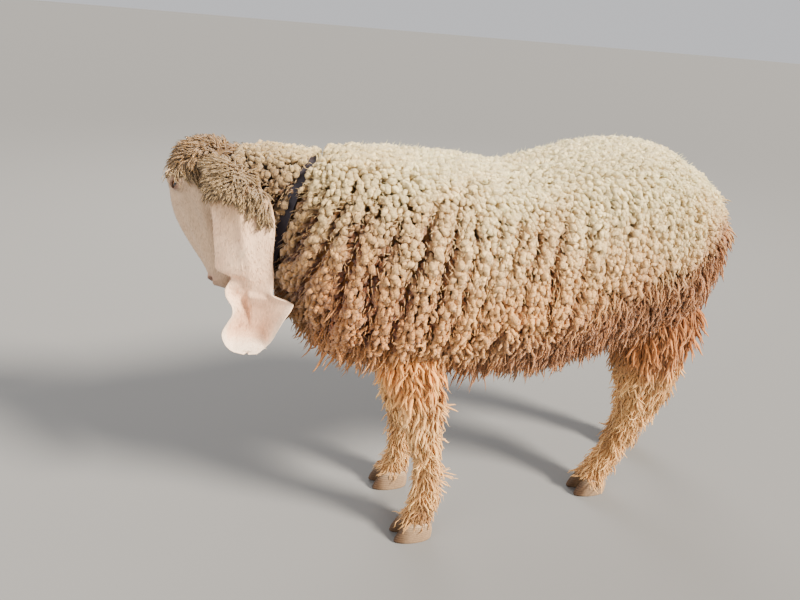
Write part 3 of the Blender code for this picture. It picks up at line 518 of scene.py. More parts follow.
def lid_swell(points):
    """Raise the skin over the eyes as lids, with a crease above and folds below."""
    for side in (1.0, -1.0):
        middle, outward, long_way, upward = eye_frame(side)
        away = points - middle
        reach = np.linalg.norm(away, axis=-1)
        out = np.sum(away * outward, axis=-1) / np.maximum(reach, 1e-6)
        inside = ramp(out, 0.05, 0.45)
        rounded = 0.5 * (reach + LID_RADIUS + np.sqrt((reach - LID_RADIUS) ** 2 + LID_BLEND ** 2))
        high = np.sum(away * upward, axis=-1)
        along = np.sum(away * long_way, axis=-1)
        arc = high - 0.0115 * (1.0 - (along / 0.024) ** 2)
        crease = -0.0016 * bell(arc, 0.0016) + 0.0012 * bell(arc - 0.0042, 0.0032)
        low = -high - 0.0100 * (1.0 - (along / 0.022) ** 2)
        folds = -0.0010 * bell(low, 0.0013) - 0.0006 * bell(low - 0.0042, 0.0014)
        level = rounded + (crease + folds) * ramp(0.034 - reach, 0.0, 0.012)
        points = points + away * (inside * (level / np.maximum(reach, 1e-6) - 1.0))[..., None]
    return points


def skull_points(downs, angles):
    """Points of the head's skin, with its swells, lids, the line of the mouth and the nostrils."""
    _, front, back, wide = np.moveaxis(table_at(SKULL, downs), -1, 0)
    across, forward = oval(angles, HEAD_POWER)
    rise = np.zeros(np.broadcast(downs, angles).shape)
    side_angle = np.degrees(np.arcsin(np.sin(angles)))
    for place, turn, length, spread, height in SWELLS.values():
        rise = rise + height * np.exp(-((downs - place) / length) ** 2 - ((side_angle - turn) / spread) ** 2)
    reach = np.where(forward > 0, front, back) * forward
    bridge = ramp(downs, 0.06, 0.13) * (1.0 - ramp(downs, 0.21, 0.25))
    out = wide * across * (1.0 - 0.17 * bridge * np.maximum(0.0, forward) ** 2)
    off, inside = mouth_line(downs, reach)
    rise = rise + inside * (-0.0038 * bell(off, 0.0012) + 0.0014 * bell(off, 0.0050))
    along, cross, ahead = nostril_place(downs, reach, out)
    rise = rise - ahead * 0.0090 * slit(along, cross, 0.0090, 0.0026)
    rise = rise + ahead * 0.0026 * slit(along, np.abs(cross) - 0.0052, 0.0115, 0.0030)
    return lid_swell(head_place(downs, reach + rise * np.sin(angles), out + rise * np.cos(angles)))


def leg_table(name):
    """A leg's rows of middle and half thickness, mirrored for the right fore leg."""
    rows, side = LEGS[name]
    return [(x, y * side, z, half_x, half_y) for x, y, z, half_x, half_y in rows]


def leg_points(name, places, angles, out=0.0):
    """Points of a leg's surface."""
    row = spline(leg_table(name), places)
    along, across = oval(angles, LEG_POWER)
    return stacked(row[..., 0] + (row[..., 3] + out) * along, row[..., 1] + (row[..., 4] + out) * across,
                   row[..., 2])


def tail_points(places, angles, out=0.0):
    """Points of the tail's surface."""
    row = spline(TAIL, places)
    step = 0.05
    run = unit(spline(TAIL, np.minimum(places + step, len(TAIL) - 1.0))[..., :2]
               - spline(TAIL, np.maximum(places - step, 0.0))[..., :2])
    away = stacked(-run[..., 1], 0.0, run[..., 0])
    thick = ((row[..., 2] + out) * np.cos(angles))[..., None]
    wide = (row[..., 3] + out) * np.sin(angles)
    return stacked(row[..., 0], TAIL_Y, row[..., 1]) + away * thick + stacked(0.0, wide, 0.0)


def ear_points(side, along, across, out):
    """Points of an ear: along from root to tip, across from back to front edge, out in metres."""
    outward = HEAD_LEFT * side
    distance = along * EAR_LENGTH
    turned = 1.0 - np.exp(-distance / EAR_BEND)
    sweep = EAR_SWEEP * turned + EAR_LEAN * along * along
    rise = distance - EAR_BEND * turned
    middle = (head_place(EAR_DOWN, -EAR_BACK, EAR_OUT, side) + outward * (EAR_STAND * turned)[..., None]
              - HEAD_FORWARD * sweep[..., None] - UP * rise[..., None])
    run = unit(outward * (EAR_STAND * (1.0 - turned) / EAR_BEND)[..., None] - UP * turned[..., None])
    away = unit(np.cross(HEAD_FORWARD, run)) * side
    edges = table_at(EAR_EDGES, along)
    reach = np.where(across > 0, edges[..., 2], edges[..., 1])
    roll = EAR_ROLL * (reach / EAR_ROLL_REACH) * (1.0 - across ** 2) * (1.0 - 0.7 * along)
    low = np.maximum(0.0, (along - 0.62) / 0.38)
    scoop = EAR_SCOOP * low ** 2 * (0.8 + 0.2 * across ** 2)
    rim = np.maximum(np.abs(across + 0.08), ramp(along, 0.86, 1.0))
    scoop = scoop + 0.020 * np.minimum(low * 2.2, 1.0) * (rim ** 3 - 0.40)
    scoop = scoop + 0.005 * ramp(along, 0.66, 0.74) * ramp(rim, 0.78, 1.0) ** 2
    flare = 0.024 * np.maximum(0.0, -across) ** 2 * bell(along - 0.80, 0.14)
    ridge = bell(across + 0.10 + 0.5 * (along - 0.4), 0.22) * bell(along - 0.42, 0.22)
    ripple = 0.0022 * np.sin(17.0 * along + 1.0) * np.abs(across) ** 4
    level = roll + scoop + flare + 0.0050 * ridge + ripple + out
    return middle + HEAD_FORWARD * (reach * across)[..., None] + away * level[..., None]


# ---- meshes ----

def mesh_object(name, points, faces):
    """An object from points in the sheep's own frame, moved to the model's."""
    mesh = bpy.data.meshes.new(name)
    points = np.asarray(points, dtype=np.float64) - MIDDLE
    sizes = [np.full(len(f), f.shape[1], dtype=np.int32) for f in faces]
    loops = np.concatenate([f.ravel() for f in faces]).astype(np.int32)
    sizes = np.concatenate(sizes)
    starts = np.concatenate([[0], np.cumsum(sizes)[:-1]]).astype(np.int32)
    mesh.vertices.add(len(points))
    mesh.vertices.foreach_set("co", points.astype(np.float32).ravel())
    mesh.loops.add(len(loops))
    mesh.loops.foreach_set("vertex_index", loops)
    mesh.polygons.add(len(sizes))
    mesh.polygons.foreach_set("loop_start", starts)
    mesh.polygons.foreach_set("loop_total", sizes)
    mesh.update(calc_edges=True)
    mesh.validate()
    mesh.shade_smooth()
    obj = bpy.data.objects.new(name, mesh)
    bpy.context.scene.collection.objects.link(obj)
    return obj


def grid_faces(rows, columns):
    """Quads of a grid of points, joined round its columns."""
    r = np.arange(rows - 1)[:, None]
    c = np.arange(columns)[None, :]
    d = (c + 1) % columns
    below, above = r * columns, (r + 1) * columns
    return stacked(below + c, below + d, above + d, above + c).reshape(-1, 4)


def facing_out(obj):
    """The same closed mesh with all its faces looking outwards."""
    shape = bmesh.new()
    shape.from_mesh(obj.data)
    bmesh.ops.recalc_face_normals(shape, faces=shape.faces)
    shape.to_mesh(obj.data)
    shape.free()
    return obj


def closed_loft(name, grid):
    """A closed body through rings of points, with its ends closed by a middle point each."""
    rows, columns = grid.shape[:2]
    points = np.concatenate([grid.reshape(-1, 3), grid[0].mean(0)[None], grid[-1].mean(0)[None]])
    faces = grid_faces(rows, columns)
    i = np.arange(columns)
    j = (i + 1) % columns
    last = (rows - 1) * columns
    first = stacked(j, i, rows * columns)
    end = stacked(last + i, last + j, rows * columns + 1)
    return facing_out(mesh_object(name, points, [faces, first, end]))


def paint(obj, colours):
    """Give every point of a mesh its colour."""
    layer = obj.data.color_attributes.new("tint", "FLOAT_COLOR", "POINT")
    full = np.concatenate([colours, np.ones((len(colours), 1))], axis=1).astype(np.float32)
    layer.data.foreach_set("color", full.ravel())


def points_of(obj):
    """A mesh's points in the sheep's own frame."""
    points = np.empty(len(obj.data.vertices) * 3, dtype=np.float32)
    obj.data.vertices.foreach_get("co", points)
    return points.reshape(-1, 3).astype(float) + MIDDLE


def wave_noise(points, scale, seed):
    """Smooth noise from -1 to 1 out of a few crossing waves."""
    rng = np.random.default_rng(seed)
    total = np.zeros(points.shape[:-1])
    for _ in range(7):
        direction = unit(rng.normal(size=3))
        total += np.sin(points @ direction * scale * rng.uniform(0.6, 1.7) * TURN + rng.uniform(0, TURN))
    return total / 3.2


def mix(a, b, share):
    """Between two colours."""
    share = np.asarray(share)[..., None]
    return a * (1.0 - share) + b * share


def ramp(value, low, high):
    """From 0 at low to 1 at high, smoothly."""
    t = np.clip((value - low) / (high - low), 0.0, 1.0)
    return t * t * (3.0 - 2.0 * t)


def shaded(colour, tint, share):
    """A colour, multiplied by a tint as far as the share says."""
    return colour * mix(np.ones(3), np.array(tint), share)


def rust_line(x):
    """The height up to which the trunk's wool is brown: it rises towards the rump."""
    return 0.425 + 0.42 * np.clip(x + 0.02, 0.0, 0.62)


def coat_colour(points):
    """The fleece's colour at places of the trunk, neck, tail and legs, with painted shade on the shoulder,
    the front and the neck.
    """
    x, z = points[..., 0], points[..., 2]
    blotch = wave_noise(points, 7.0, 3)
    fine = wave_noise(points, 30.0, 4)
    colour = mix(TAN, CREAM, ramp(z + 0.03 * blotch, 0.52, 0.80))
    # Painted shade on the low shoulder and the chest.
    shoulder = (1.0 - ramp(x, -0.16, 0.10)) * (1.0 - ramp(z + 0.02 * blotch, 0.62, 0.80))
    colour = shaded(colour, (0.82, 0.70, 0.57), shoulder)
    # Darker towards the front: painted shade, and more yellowed wool at the neck.
    front = 1.0 - ramp(x + 0.03 * blotch, -0.26, 0.02)
    colour = shaded(colour, (0.86, 0.78, 0.66), front)
    # The neck takes the poll's dirty yellowish wool colour and its painted shade, less on top where the light
    # falls.
    shaded_nape = (1.0 - ramp(x + 0.02 * blotch, -0.27, -0.20)) * (1.0 - 0.40 * ramp(z, 0.76, 0.80))
    colour = mix(colour, SHADED_POLL_TINT, 0.9 * shaded_nape)
    line = rust_line(x)
    rust = 1.0 - ramp(z + 0.024 * blotch + 0.008 * fine, line - 0.055, line + 0.060)
    rust = rust * ramp(x, -0.06, 0.08)
    colour = mix(colour, RUST, 0.92 * rust)
    leg = 1.0 - ramp(z + 0.01 * blotch, 0.33, 0.43)
    colour = mix(colour, LEG_TAN, leg)
    dirt = leg * ramp(0.6 * blotch + 0.5 * fine, 0.15, 0.9)
    return mix(colour, LEG_DIRT, 0.55 * dirt)


# ---- strands of wool and hair ----

class Strands:
    """Locks of one kind, gathered from many places and made into one mesh."""

    def __init__(self, name, slot, rings, profile, sides, tip):
        self.name = name
        self.slot = slot
        self.t = np.asarray(rings, dtype=float)
        self.profile = np.asarray(profile, dtype=float)
        self.sides = sides
        self.tip = tip
        self.grown = []

    def add(self, root, normal, lie, length, width, thick, start, end, uv, colour,
            sway=0.0, wave=0.0, waves=1.0, curl=1.0, phase=0.0, twist=0.0, dark=ROOT_TINT):
        """Grow a lock at each root. It starts and ends at angles to the normal, towards its lie."""
        count = len(root)
        lie = unit(tangent(lie, normal))
        side = np.cross(normal, lie)
        length, width, thick, start, end, sway, wave, waves, curl, phase, twist = (
            np.broadcast_to(np.asarray(v, dtype=float), (count,))[:, None]
            for v in (length, width, thick, start, end, sway, wave, waves, curl, phase, twist))
        t = np.append(self.t, self.t[-1] + self.tip)[None, :]
        angle = np.radians(start + (end - start) * np.minimum(t, 1.0) ** curl)
        step = np.diff(t, axis=1, prepend=t[:, :1])
        up = np.cumsum(np.cos(angle) * step, axis=1) * length
        along = np.cumsum(np.sin(angle) * step, axis=1) * length
        swing = TURN * waves * t + phase
        cross = sway * t ** 1.5 + wave * np.sin(swing) * np.minimum(t * 2.0, 1.0)
        up = up + 0.6 * wave * np.cos(swing) * np.minimum(t * 2.0, 1.0)
        middle = (root[:, None] + normal[:, None] * up[..., None] + lie[:, None] * along[..., None]
                  + side[:, None] * cross[..., None])
        run = unit(np.gradient(middle, axis=1))
        flat = side[:, None] * np.cos(twist * t)[..., None] + \
            np.cross(run, side[:, None]) * np.sin(twist * t)[..., None]
        flat = unit(tangent(flat, run))
        deep = np.cross(run, flat)
        around = TURN * (np.arange(self.sides) + 0.5) / self.sides
        rings = len(self.t)
        wide, high = ((size * self.profile)[..., None, None] for size in (width, thick))
        ring = (middle[:, :rings, None] + flat[:, :rings, None] * wide * np.cos(around)[:, None]
                + deep[:, :rings, None] * high * np.sin(around)[:, None])
        points = np.concatenate([ring.reshape(count, -1, 3), middle[:, rings:]], axis=1)
        fade = np.repeat(self.t, self.sides)
        fade = np.append(fade, 1.0)[None, :, None]
        # Painted shade: each strand is darker towards its root.
        shade = dark + (1.0 - dark) * fade ** 0.8
        local_u = np.append(np.tile(np.cos(around), rings), 0.0) * PATCH_HALF_WIDTH
        local_v = np.append(np.repeat(self.t - 0.5, self.sides), 0.5) * PATCH_LENGTH
        uvs = np.stack([uv[:, :1] + local_u[None], uv[:, 1:] + local_v[None]], axis=-1)
        run_u = np.append(np.tile(np.cos(around), rings), 0.0) * np.ones((count, 1)) * 0.5
        run_v = np.append(np.repeat(self.t, self.sides), 1.0) * length + phase
        self.grown.append((points, colour[:, None] * shade, uvs, stacked(run_u, run_v)))

    def make(self, material):
        """Mesh objects of all locks, each under the limit of triangles."""
        points, colours, uvs, strand = (np.concatenate(values) for values in zip(*self.grown))
        rings = len(self.t)
        quads = grid_faces(rings, self.sides)
        i = np.arange(self.sides)
        last = (rings - 1) * self.sides
        tips = stacked(last + i, last + (i + 1) % self.sides, rings * self.sides)
        size = points.shape[1]
        most = PIECE_LIMIT // (2 * len(quads) + len(tips))
        for number, first in enumerate(range(0, len(points), most)):
            part = slice(first, first + most)
            count = len(points[part])
            base = (np.arange(count) * size)[:, None, None]
            all_quads = (quads[None] + base).reshape(-1, 4)
            all_tips = (tips[None] + base).reshape(-1, 3)
            name = "%s_%d" % (self.name, number)
            obj = mesh_object(name, points[part].reshape(-1, 3), [all_quads, all_tips])
            paint(obj, np.clip(colours[part].reshape(-1, 3), 0.0, 1.0))
            index = np.empty(len(obj.data.loops), dtype=np.int32)
            obj.data.loops.foreach_get("vertex_index", index)
            for map_name, values in (("OFBake", uvs), ("Strand", strand)):
                layer = obj.data.uv_layers.new(name=map_name)
                layer.data.foreach_set("uv", values[part].reshape(-1, 2)[index].astype(np.float32).ravel())
            obj.data.materials.append(material)
            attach(obj, "root")


def island(left, right, u, v):
    """A place on the coat's unwrap, inside the island between left and right."""
    low, high = BORDER, 1.0 - BORDER
    return stacked(left + (right - left) * np.clip(u, 0, 1), low + (high - low) * np.mod(v, 1.0))


def body_uv(places, angles):
    """The trunk's and neck's place on the unwrap."""
    return island(0.01, 0.49, places / LAST_PLACE, angles / TURN)


def run_of(points):
    """How far along a line of points each of them is."""
    return np.append(0.0, np.cumsum(np.linalg.norm(np.diff(points, axis=0), axis=-1)))


def spread(points_at, first, last, pitch, seed, jitter=0.4, closer=1.0, reach=0.04):
    """Roots on a surface, even along it and round it: its two parameters, points and normals."""
    rng = np.random.default_rng(seed)
    fine = np.linspace(first, last, SAMPLES[0])
    angles = np.linspace(0.0, TURN, SAMPLES[1])
    grid = points_at(fine[:, None], np.broadcast_to(angles, SAMPLES))
    length = np.append(0.0, np.cumsum(np.linalg.norm(np.diff(grid, axis=0), axis=-1).mean(axis=1)))
    columns = max(1, int(length[-1] / pitch))
    places, around = [], []
    for column in range(columns):
        place = np.interp((column + 0.5) * length[-1] / columns, length, fine)
        round_it = run_of(points_at(np.full(len(angles), place), angles))
        count = max(1, int(round(round_it[-1] / (pitch * closer))))
        where = (np.arange(count) + rng.uniform() + rng.uniform(-jitter, jitter, count)) / count
        around.append(np.interp(np.mod(where, 1.0) * round_it[-1], round_it, angles))
        shift = rng.uniform(-jitter, jitter, count) * length[-1] / columns
        places.append(np.interp((column + 0.5) * length[-1] / columns + shift, length, fine))
    places, around = np.concatenate(places), np.concatenate(around)
    return places, around, points_at(places, around), surface_normals(points_at, places, around, reach)


def kept(keep, *values):
    """The values of the roots that are kept."""
    return [value[keep] for value in values]


def bends(draw, sway, wave, waves, twist, curl=1.0):
    """How each lock bends, in the order of the draws. A pair is a range to draw from."""
    ranges = {"sway": (-sway, sway), "wave": wave, "waves": waves, "curl": curl,
              "phase": (0, TURN), "twist": (-twist, twist)}
    return {name: draw(*value) if isinstance(value, tuple) else value for name, value in ranges.items()}


def skin_depth(places):
    """How deep the skin lies below the fleece's tips along the body."""
    return SKIN_DEPTH + (NECK_DEPTH - SKIN_DEPTH) * ramp(places, COLLAR_ROW - 1.0, COLLAR_ROW + 0.5)


def body_skin(places, angles):
    """Points of the skin under the fleece of the trunk and neck."""
    return body_points(places, angles, skin_depth(places))


def over_leg(points, spare):
    """Whether points of the trunk lie where the top of a leg is."""
    hit = np.zeros(len(points), dtype=bool)
    for name in LEGS:
        x, y, z, half_x, half_y = leg_table(name)[1]
        hit |= ((np.abs(points[:, 0] - x) < half_x + spare) & (np.abs(points[:, 1] - y) < half_y + spare)
                & (points[:, 2] < z))
    return hit


def hang(normals):
    """How wool hangs on a surface: down the flanks, a little forwards, and back along the spine."""
    top = np.maximum(0.0, normals[:, 2:3]) ** 4
    return -UP * np.ones((len(normals), 1)) - BACK * 0.28 * (1.0 - top) + BACK * 2.0 * top


def tangent(vectors, normals):
    """The part of vectors that lies in the surface."""
    return vectors - normals * np.sum(vectors * normals, axis=-1, keepdims=True)


def gathered(points, lie, length, every, pull, rng):
    """The way locks lie, turned so that the tips of neighbours meet in clumps of about so many."""
    chosen = points[rng.permutation(len(points))[:max(1, len(points) // every)]]
    tree = KDTree(len(chosen))
    for number, point in enumerate(chosen):
        tree.insert(point, number)
    tree.balance()
    middle = np.array([tree.find(point)[0] for point in points])
    return unit(unit(lie) + pull * (middle - points) / length)


def rows_of_wool(places, angles, tips, rng):
    """Where each staple stands in its row: its distance from the row's and the head's middle."""
    fine = np.linspace(0.0, LAST_PLACE, 400)
    length = run_of(spline(TRUNK, fine)[:, :3])
    drop = np.abs(np.mod(angles - math.pi / 2 + math.pi, TURN) - math.pi) / math.pi
    side = np.where(np.cos(angles) > 0, 1.0, -1.0)
    run = np.interp(places, fine, length) - ROW_SLANT * (drop - 0.5)
    run = run + 0.016 * wave_noise(tips * np.array([1.0, 1.0, 0.7]), 3.5, 17) \
        + 0.006 * wave_noise(tips, 9.0, 18) + 0.5 * ROW_PITCH * (side > 0)
    row = run / ROW_PITCH
    number = np.floor(row).astype(int)
    shift = rng.uniform(0, 1, 400)
    head = angles * 0.185 / HEAD_PITCH + shift[number % 400] + 0.25 * wave_noise(tips, 14.0, 19)
    lumps = rng.uniform(-1, 1, 4000)
    lump = lumps[(number * 97 + np.floor(head).astype(int)) % 4000]
    return (row - number - 0.5) * ROW_PITCH, (head - np.floor(head) - 0.5) * HEAD_PITCH, lump


def grow_fleece(quick):
    """The curled staples of the trunk and neck, in heads that stand in rows with partings between."""
    rng = np.random.default_rng(21)
    curls = Strands("fleece_curls", "fleece", CURL_RINGS, CURL_PROFILE, sides=5, tip=0.03)
    pitch = CURL_PITCH[quick]
    places, angles, tips, normals = spread(body_points, 0.12, LAST_PLACE - 0.15, pitch, 5)
    keep = ~over_leg(tips, -0.006) & (rust_share(tips) < rng.uniform(0.35, 0.8, len(tips)))
    keep &= ~near_collar(tips, 0.0025) & ~by_the_face(tips)
    places, angles, tips, normals = kept(keep, places, angles, tips, normals)
    count = len(tips)
    draw = partial(rng.uniform, size=count)
    lie = unit(tangent(hang(normals), normals))
    across, along, lump = rows_of_wool(places, angles, tips, rng)
    strength = parting_strength(tips, normals)
    dip = strength * np.clip(np.abs(across) / (ROW_PITCH * 0.44), 0, 1.0) ** 3.2
    notch = (0.08 + 0.24 * strength) * np.clip(np.abs(along) / (HEAD_PITCH * 0.5), 0, 1.1) ** 2
    dip = np.clip(dip + notch, 0, 1.0)
    high = 1.0 - 0.80 * dip + 0.05 * lump + draw(-0.09, 0.07)
    high = high * (0.96 + 0.05 * wave_noise(tips, 5.0, 40))
    depth = skin_depth(places)
    top = ramp(normals[:, 2], 0.45, 0.9)
    hangs = 1.0 - ramp(tips[:, 2] + 0.02 * wave_noise(tips, 11.0, 41), 0.50, 0.62)
    length = (depth + 0.003) * high + 0.0085 + 0.010 * hangs
    direction = unit(lie + rng.normal(0, 0.34, (count, 3)))
    base = tips - normals * (depth + 0.003)[:, None]
    size = draw(0.70, 1.30) * (1.0 - 0.10 * dip) * (1.0 - 0.22 * hangs)
    tint = coat_colour(tips) * (1.0 + 0.05 * lump + draw(-0.09, 0.09))[:, None]
    # Painted shade in the partings between rows, where the wool is also dirtier.
    tint = shaded(tint, (0.42, 0.25, 0.12), np.clip(dip * 1.35 - 0.15, 0, 1))
    curls.add(base, normals, direction, length, pitch * 0.66 * size, pitch * 0.54 * size,
              draw(-5, 5), draw(120, 200) - 30 * top - 55 * hangs, body_uv(places, angles), tint,
              sway=0.45 * strength * across + draw(-0.003, 0.003), wave=0.0010 + 0.0014 * hangs,
              waves=draw(1.5, 3.0), curl=draw(4.0, 8.0) * (1.0 - 0.5 * hangs),
              phase=draw(0, TURN), twist=draw(-3.0, 3.0))
    return curls


def grow_long_wool(quick):
    """The longer wavy locks of the thighs, belly and brisket, where the wool is brown."""
    rng = np.random.default_rng(22)
    locks = Strands("fleece_locks", "fleece", LOCK_RINGS, LONG_PROFILE, sides=4, tip=0.10)
    places, angles, tips, normals = spread(body_points, 0.10, 14.5, LONG_PITCH[quick], 25, closer=0.9)
    low = ramp(-normals[:, 2], 0.25, 0.75)
    wanted = np.maximum(rust_share(tips), low)
    keep = ~over_leg(tips, -0.010) & (wanted > rng.uniform(0.15, 0.55, len(tips)))
    places, angles, tips, normals, low = kept(keep, places, angles, tips, normals, low)
    count = len(tips)
    draw = partial(rng.uniform, size=count)
    depth = skin_depth(places)
    base = tips - normals * (depth + 0.002)[:, None]
    direction = unit(-UP - BACK * 0.22 + 0.25 * rng.normal(0, 1, (count, 3)) + 1e-3)
    direction = gathered(tips, direction, 0.035, every=5, pull=0.6, rng=rng)
    clump = wave_noise(tips, 22.0, 44)
    length = (0.050 + 0.010 * clump + draw(-0.008, 0.010)) * (1.0 - 0.12 * low)
    tint = coat_colour(tips) * (1.02 + 0.16 * clump + draw(-0.10, 0.12))[:, None]
    width = draw(0.0028, 0.0050)
    locks.add(base, normals, direction, length, width, width * 0.50,
              draw(0, 14) + 4 * clump, 92 - 60 * low + draw(-12, 12),
              body_uv(places, angles), tint, dark=LONG_ROOT,
              **bends(draw, 0.006, (0.0010, 0.0022), (2.0, 3.2), 1.5, (0.8, 1.5)))
    return locks


def grow_fringe(quick):
    """Locks that hang free along the belly, the brisket and the back of the thighs."""
    rng = np.random.default_rng(23)
    locks = Strands("fleece_fringe", "fleece", LOCK_RINGS, LOCK_PROFILE, sides=4, tip=0.10)
    count = FRINGE_COUNT[quick]
    draw = partial(rng.uniform, size=count)
    places = draw(1.2, 14.2)
    angles = math.radians(270.0) + rng.normal(0, 0.62, count)
    tips = body_points(places, angles)
    normals = surface_normals(body_points, places, angles)
    keep = ~over_leg(tips, -0.012)
    places, angles, tips, normals = kept(keep, places, angles, tips, normals)
    count = len(tips)
    draw = partial(rng.uniform, size=count)
    clump = wave_noise(tips, 16.0, 45)
    down = unit(-UP + 0.35 * normals)
    lie = unit(tangent(-BACK * np.ones((count, 1)) + rng.normal(0, 0.3, (count, 3)), down))
    length = 0.040 + 0.016 * np.maximum(clump, 0) + draw(-0.010, 0.008)
    tint = coat_colour(tips) * (1.05 + 0.15 * clump + draw(-0.1, 0.15))[:, None]
    width = draw(0.0022, 0.0040)
    locks.add(tips - normals * 0.020, down, lie, length + 0.010, width, width * 0.5,
              draw(-15, 15), draw(-10, 50), body_uv(places, angles), tint,
              **bends(draw, 0.008, (0.0012, 0.0024), (1.5, 2.8), 2))
    return locks


def grow_wisps(quick):
    """Fine pale ends of wool that stand from the back, the rump and the rows of curls."""
    rng = np.random.default_rng(24)
    wisps = Strands("fleece_wisps", "fleece", HAIR_RINGS, WISP_PROFILE, sides=3, tip=0.45)
    places, angles, tips, normals = spread(body_points, 0.12, LAST_PLACE - 0.15, WISP_PITCH[quick], 27, 0.5)
    keep = ~over_leg(tips, -0.012) & ~near_collar(tips, -0.002) & ~by_the_face(tips)
    places, angles, tips, normals = kept(keep, places, angles, tips, normals)
    count = len(tips)
    draw = partial(rng.uniform, size=count)
    lie = unit(tangent(hang(normals), normals) + rng.normal(0, 0.5, (count, 3)))
    top = ramp(normals[:, 2], 0.1, 0.7)
    tint = coat_colour(tips) * (1.10 + draw(-0.08, 0.10))[:, None]
    wisps.add(tips - normals * 0.008, normals, lie, 0.013 + 0.005 * top + draw(-0.004, 0.004),
              draw(0.0008, 0.0016) * (1.0 + 0.35 * top), 0.0008,
              draw(-25, 35), draw(20, 95), body_uv(places, angles), tint,
              sway=draw(-0.003, 0.003), dark=WISP_ROOT)
    return wisps


def grow_leg_wool(quick):
    """The shaggy wool of the legs: broad pointed locks above, finer ones down to the hooves."""
    rng = np.random.default_rng(26)
    broad = Strands("leg_locks", "leg_wool", LEG_RINGS, LEG_PROFILE, sides=4, tip=0.14)
    fine = Strands("leg_hair", "leg_wool", HAIR_RINGS, HAIR_PROFILE, sides=3, tip=0.45)
    for number, name in enumerate(LEGS):
        for kind, pitch in ((broad, LEG_PITCH[quick]), (fine, LEG_HAIR_PITCH[quick])):
            skin_at = partial(leg_points, name, out=LEG_ROOTS)
            places, angles, points, normals = spread(skin_at, 0.3, 9.85, pitch, 30 + number)
            normals = -normals  # a leg's rows run down, so that these point inwards
            count = len(points)
            draw = partial(rng.uniform, size=count)
            z = points[:, 2]
            upper = ramp(z, 0.20, 0.40)
            clump = wave_noise(points, 26.0, 50 + number)
            drift = stacked(*(wave_noise(points, 20.0, 70 + axis) for axis in range(3)))
            lie = unit(-UP + 0.15 * rng.normal(0, 1, (count, 3)) + 0.30 * drift)
            back = ramp(np.cos(angles), 0.1, 0.9)
            flare = np.maximum(0.0, clump) * (0.4 + 0.6 * back)
            cuff = 0.9 * bell(z - 0.168, 0.018) * (0.4 + 0.6 * back)
            flare = flare + cuff
            tint = coat_colour(points) * (1.04 + 0.20 * clump + draw(-0.12, 0.14))[:, None]
            tint = mix(tint, LEG_DIRT, 0.45 * cuff + 0.35 * (1.0 - ramp(z, 0.03, 0.10)))
            shift = 0.245 * number
            uv = island(0.01 + shift, 0.24 + shift, places / 10.0, angles / TURN)
            if kind is broad:
                over_hoof = 1.0 - ramp(z, 0.045, 0.062)
                lie = gathered(points, lie, 0.022 + 0.014 * upper[:, None], every=6, pull=0.7, rng=rng)
                length = 0.030 + 0.024 * upper + 0.006 * clump + 0.012 * cuff + draw(-0.006, 0.008)
                width = 0.0021 + 0.0018 * upper + draw(-0.0008, 0.0012)
                kind.add(points - normals * 0.003, normals, lie, length, width, width * 0.42,
                         44 - 18 * flare - 14 * over_hoof + draw(-10, 8),
                         92 - 36 * flare - 4 * over_hoof + draw(-8, 6),
                         uv, tint, dark=LEG_ROOT, **bends(draw, 0.006, 0.0022, (1.0, 2.2), 0.8, 0.8))
            else:
                length = 0.014 + 0.014 * upper + draw(-0.003, 0.004)
                kind.add(points - normals * 0.001, normals, lie, length, 0.0011, 0.0007,
                         36 + draw(-16, 12), 84 - 30 * flare + draw(-20, 8), uv,
                         tint * 1.06, sway=draw(-0.004, 0.004), dark=LEG_HAIR_ROOT)
    return broad, fine


def grow_tail(quick):
    """The ragged wool of the tail."""
    rng = np.random.default_rng(28)
    locks = Strands("tail_locks", "fleece", LOCK_RINGS, LOCK_PROFILE, sides=4, tip=0.10)
    skin_at = partial(tail_points, out=TAIL_ROOTS)
    places, angles, points, normals = spread(skin_at, 0.0, 5.9, TAIL_PITCH[quick], 29)
    normals = -normals  # as on the legs
    count = len(points)
    draw = partial(rng.uniform, size=count)
    lie = unit(-UP + 0.25 * rng.normal(0, 1, (count, 3)))
    clump = wave_noise(points, 20.0, 60)
    tint = coat_colour(points) * (1.05 + 0.22 * clump + draw(-0.1, 0.14))[:, None]
    uv = island(0.01, 0.99, places / 6.0, angles / TURN)
    width = draw(0.0024, 0.0044)
    locks.add(points - normals * 0.002, normals, lie, 0.042 + draw(-0.010, 0.012),
              width, width * 0.5, 30 - 14 * clump + draw(-10, 10), 84 - 24 * clump + draw(-12, 8), uv, tint,
              **bends(draw, 0.006, (0.001, 0.002), (1.5, 2.6), 1.5))
    return locks


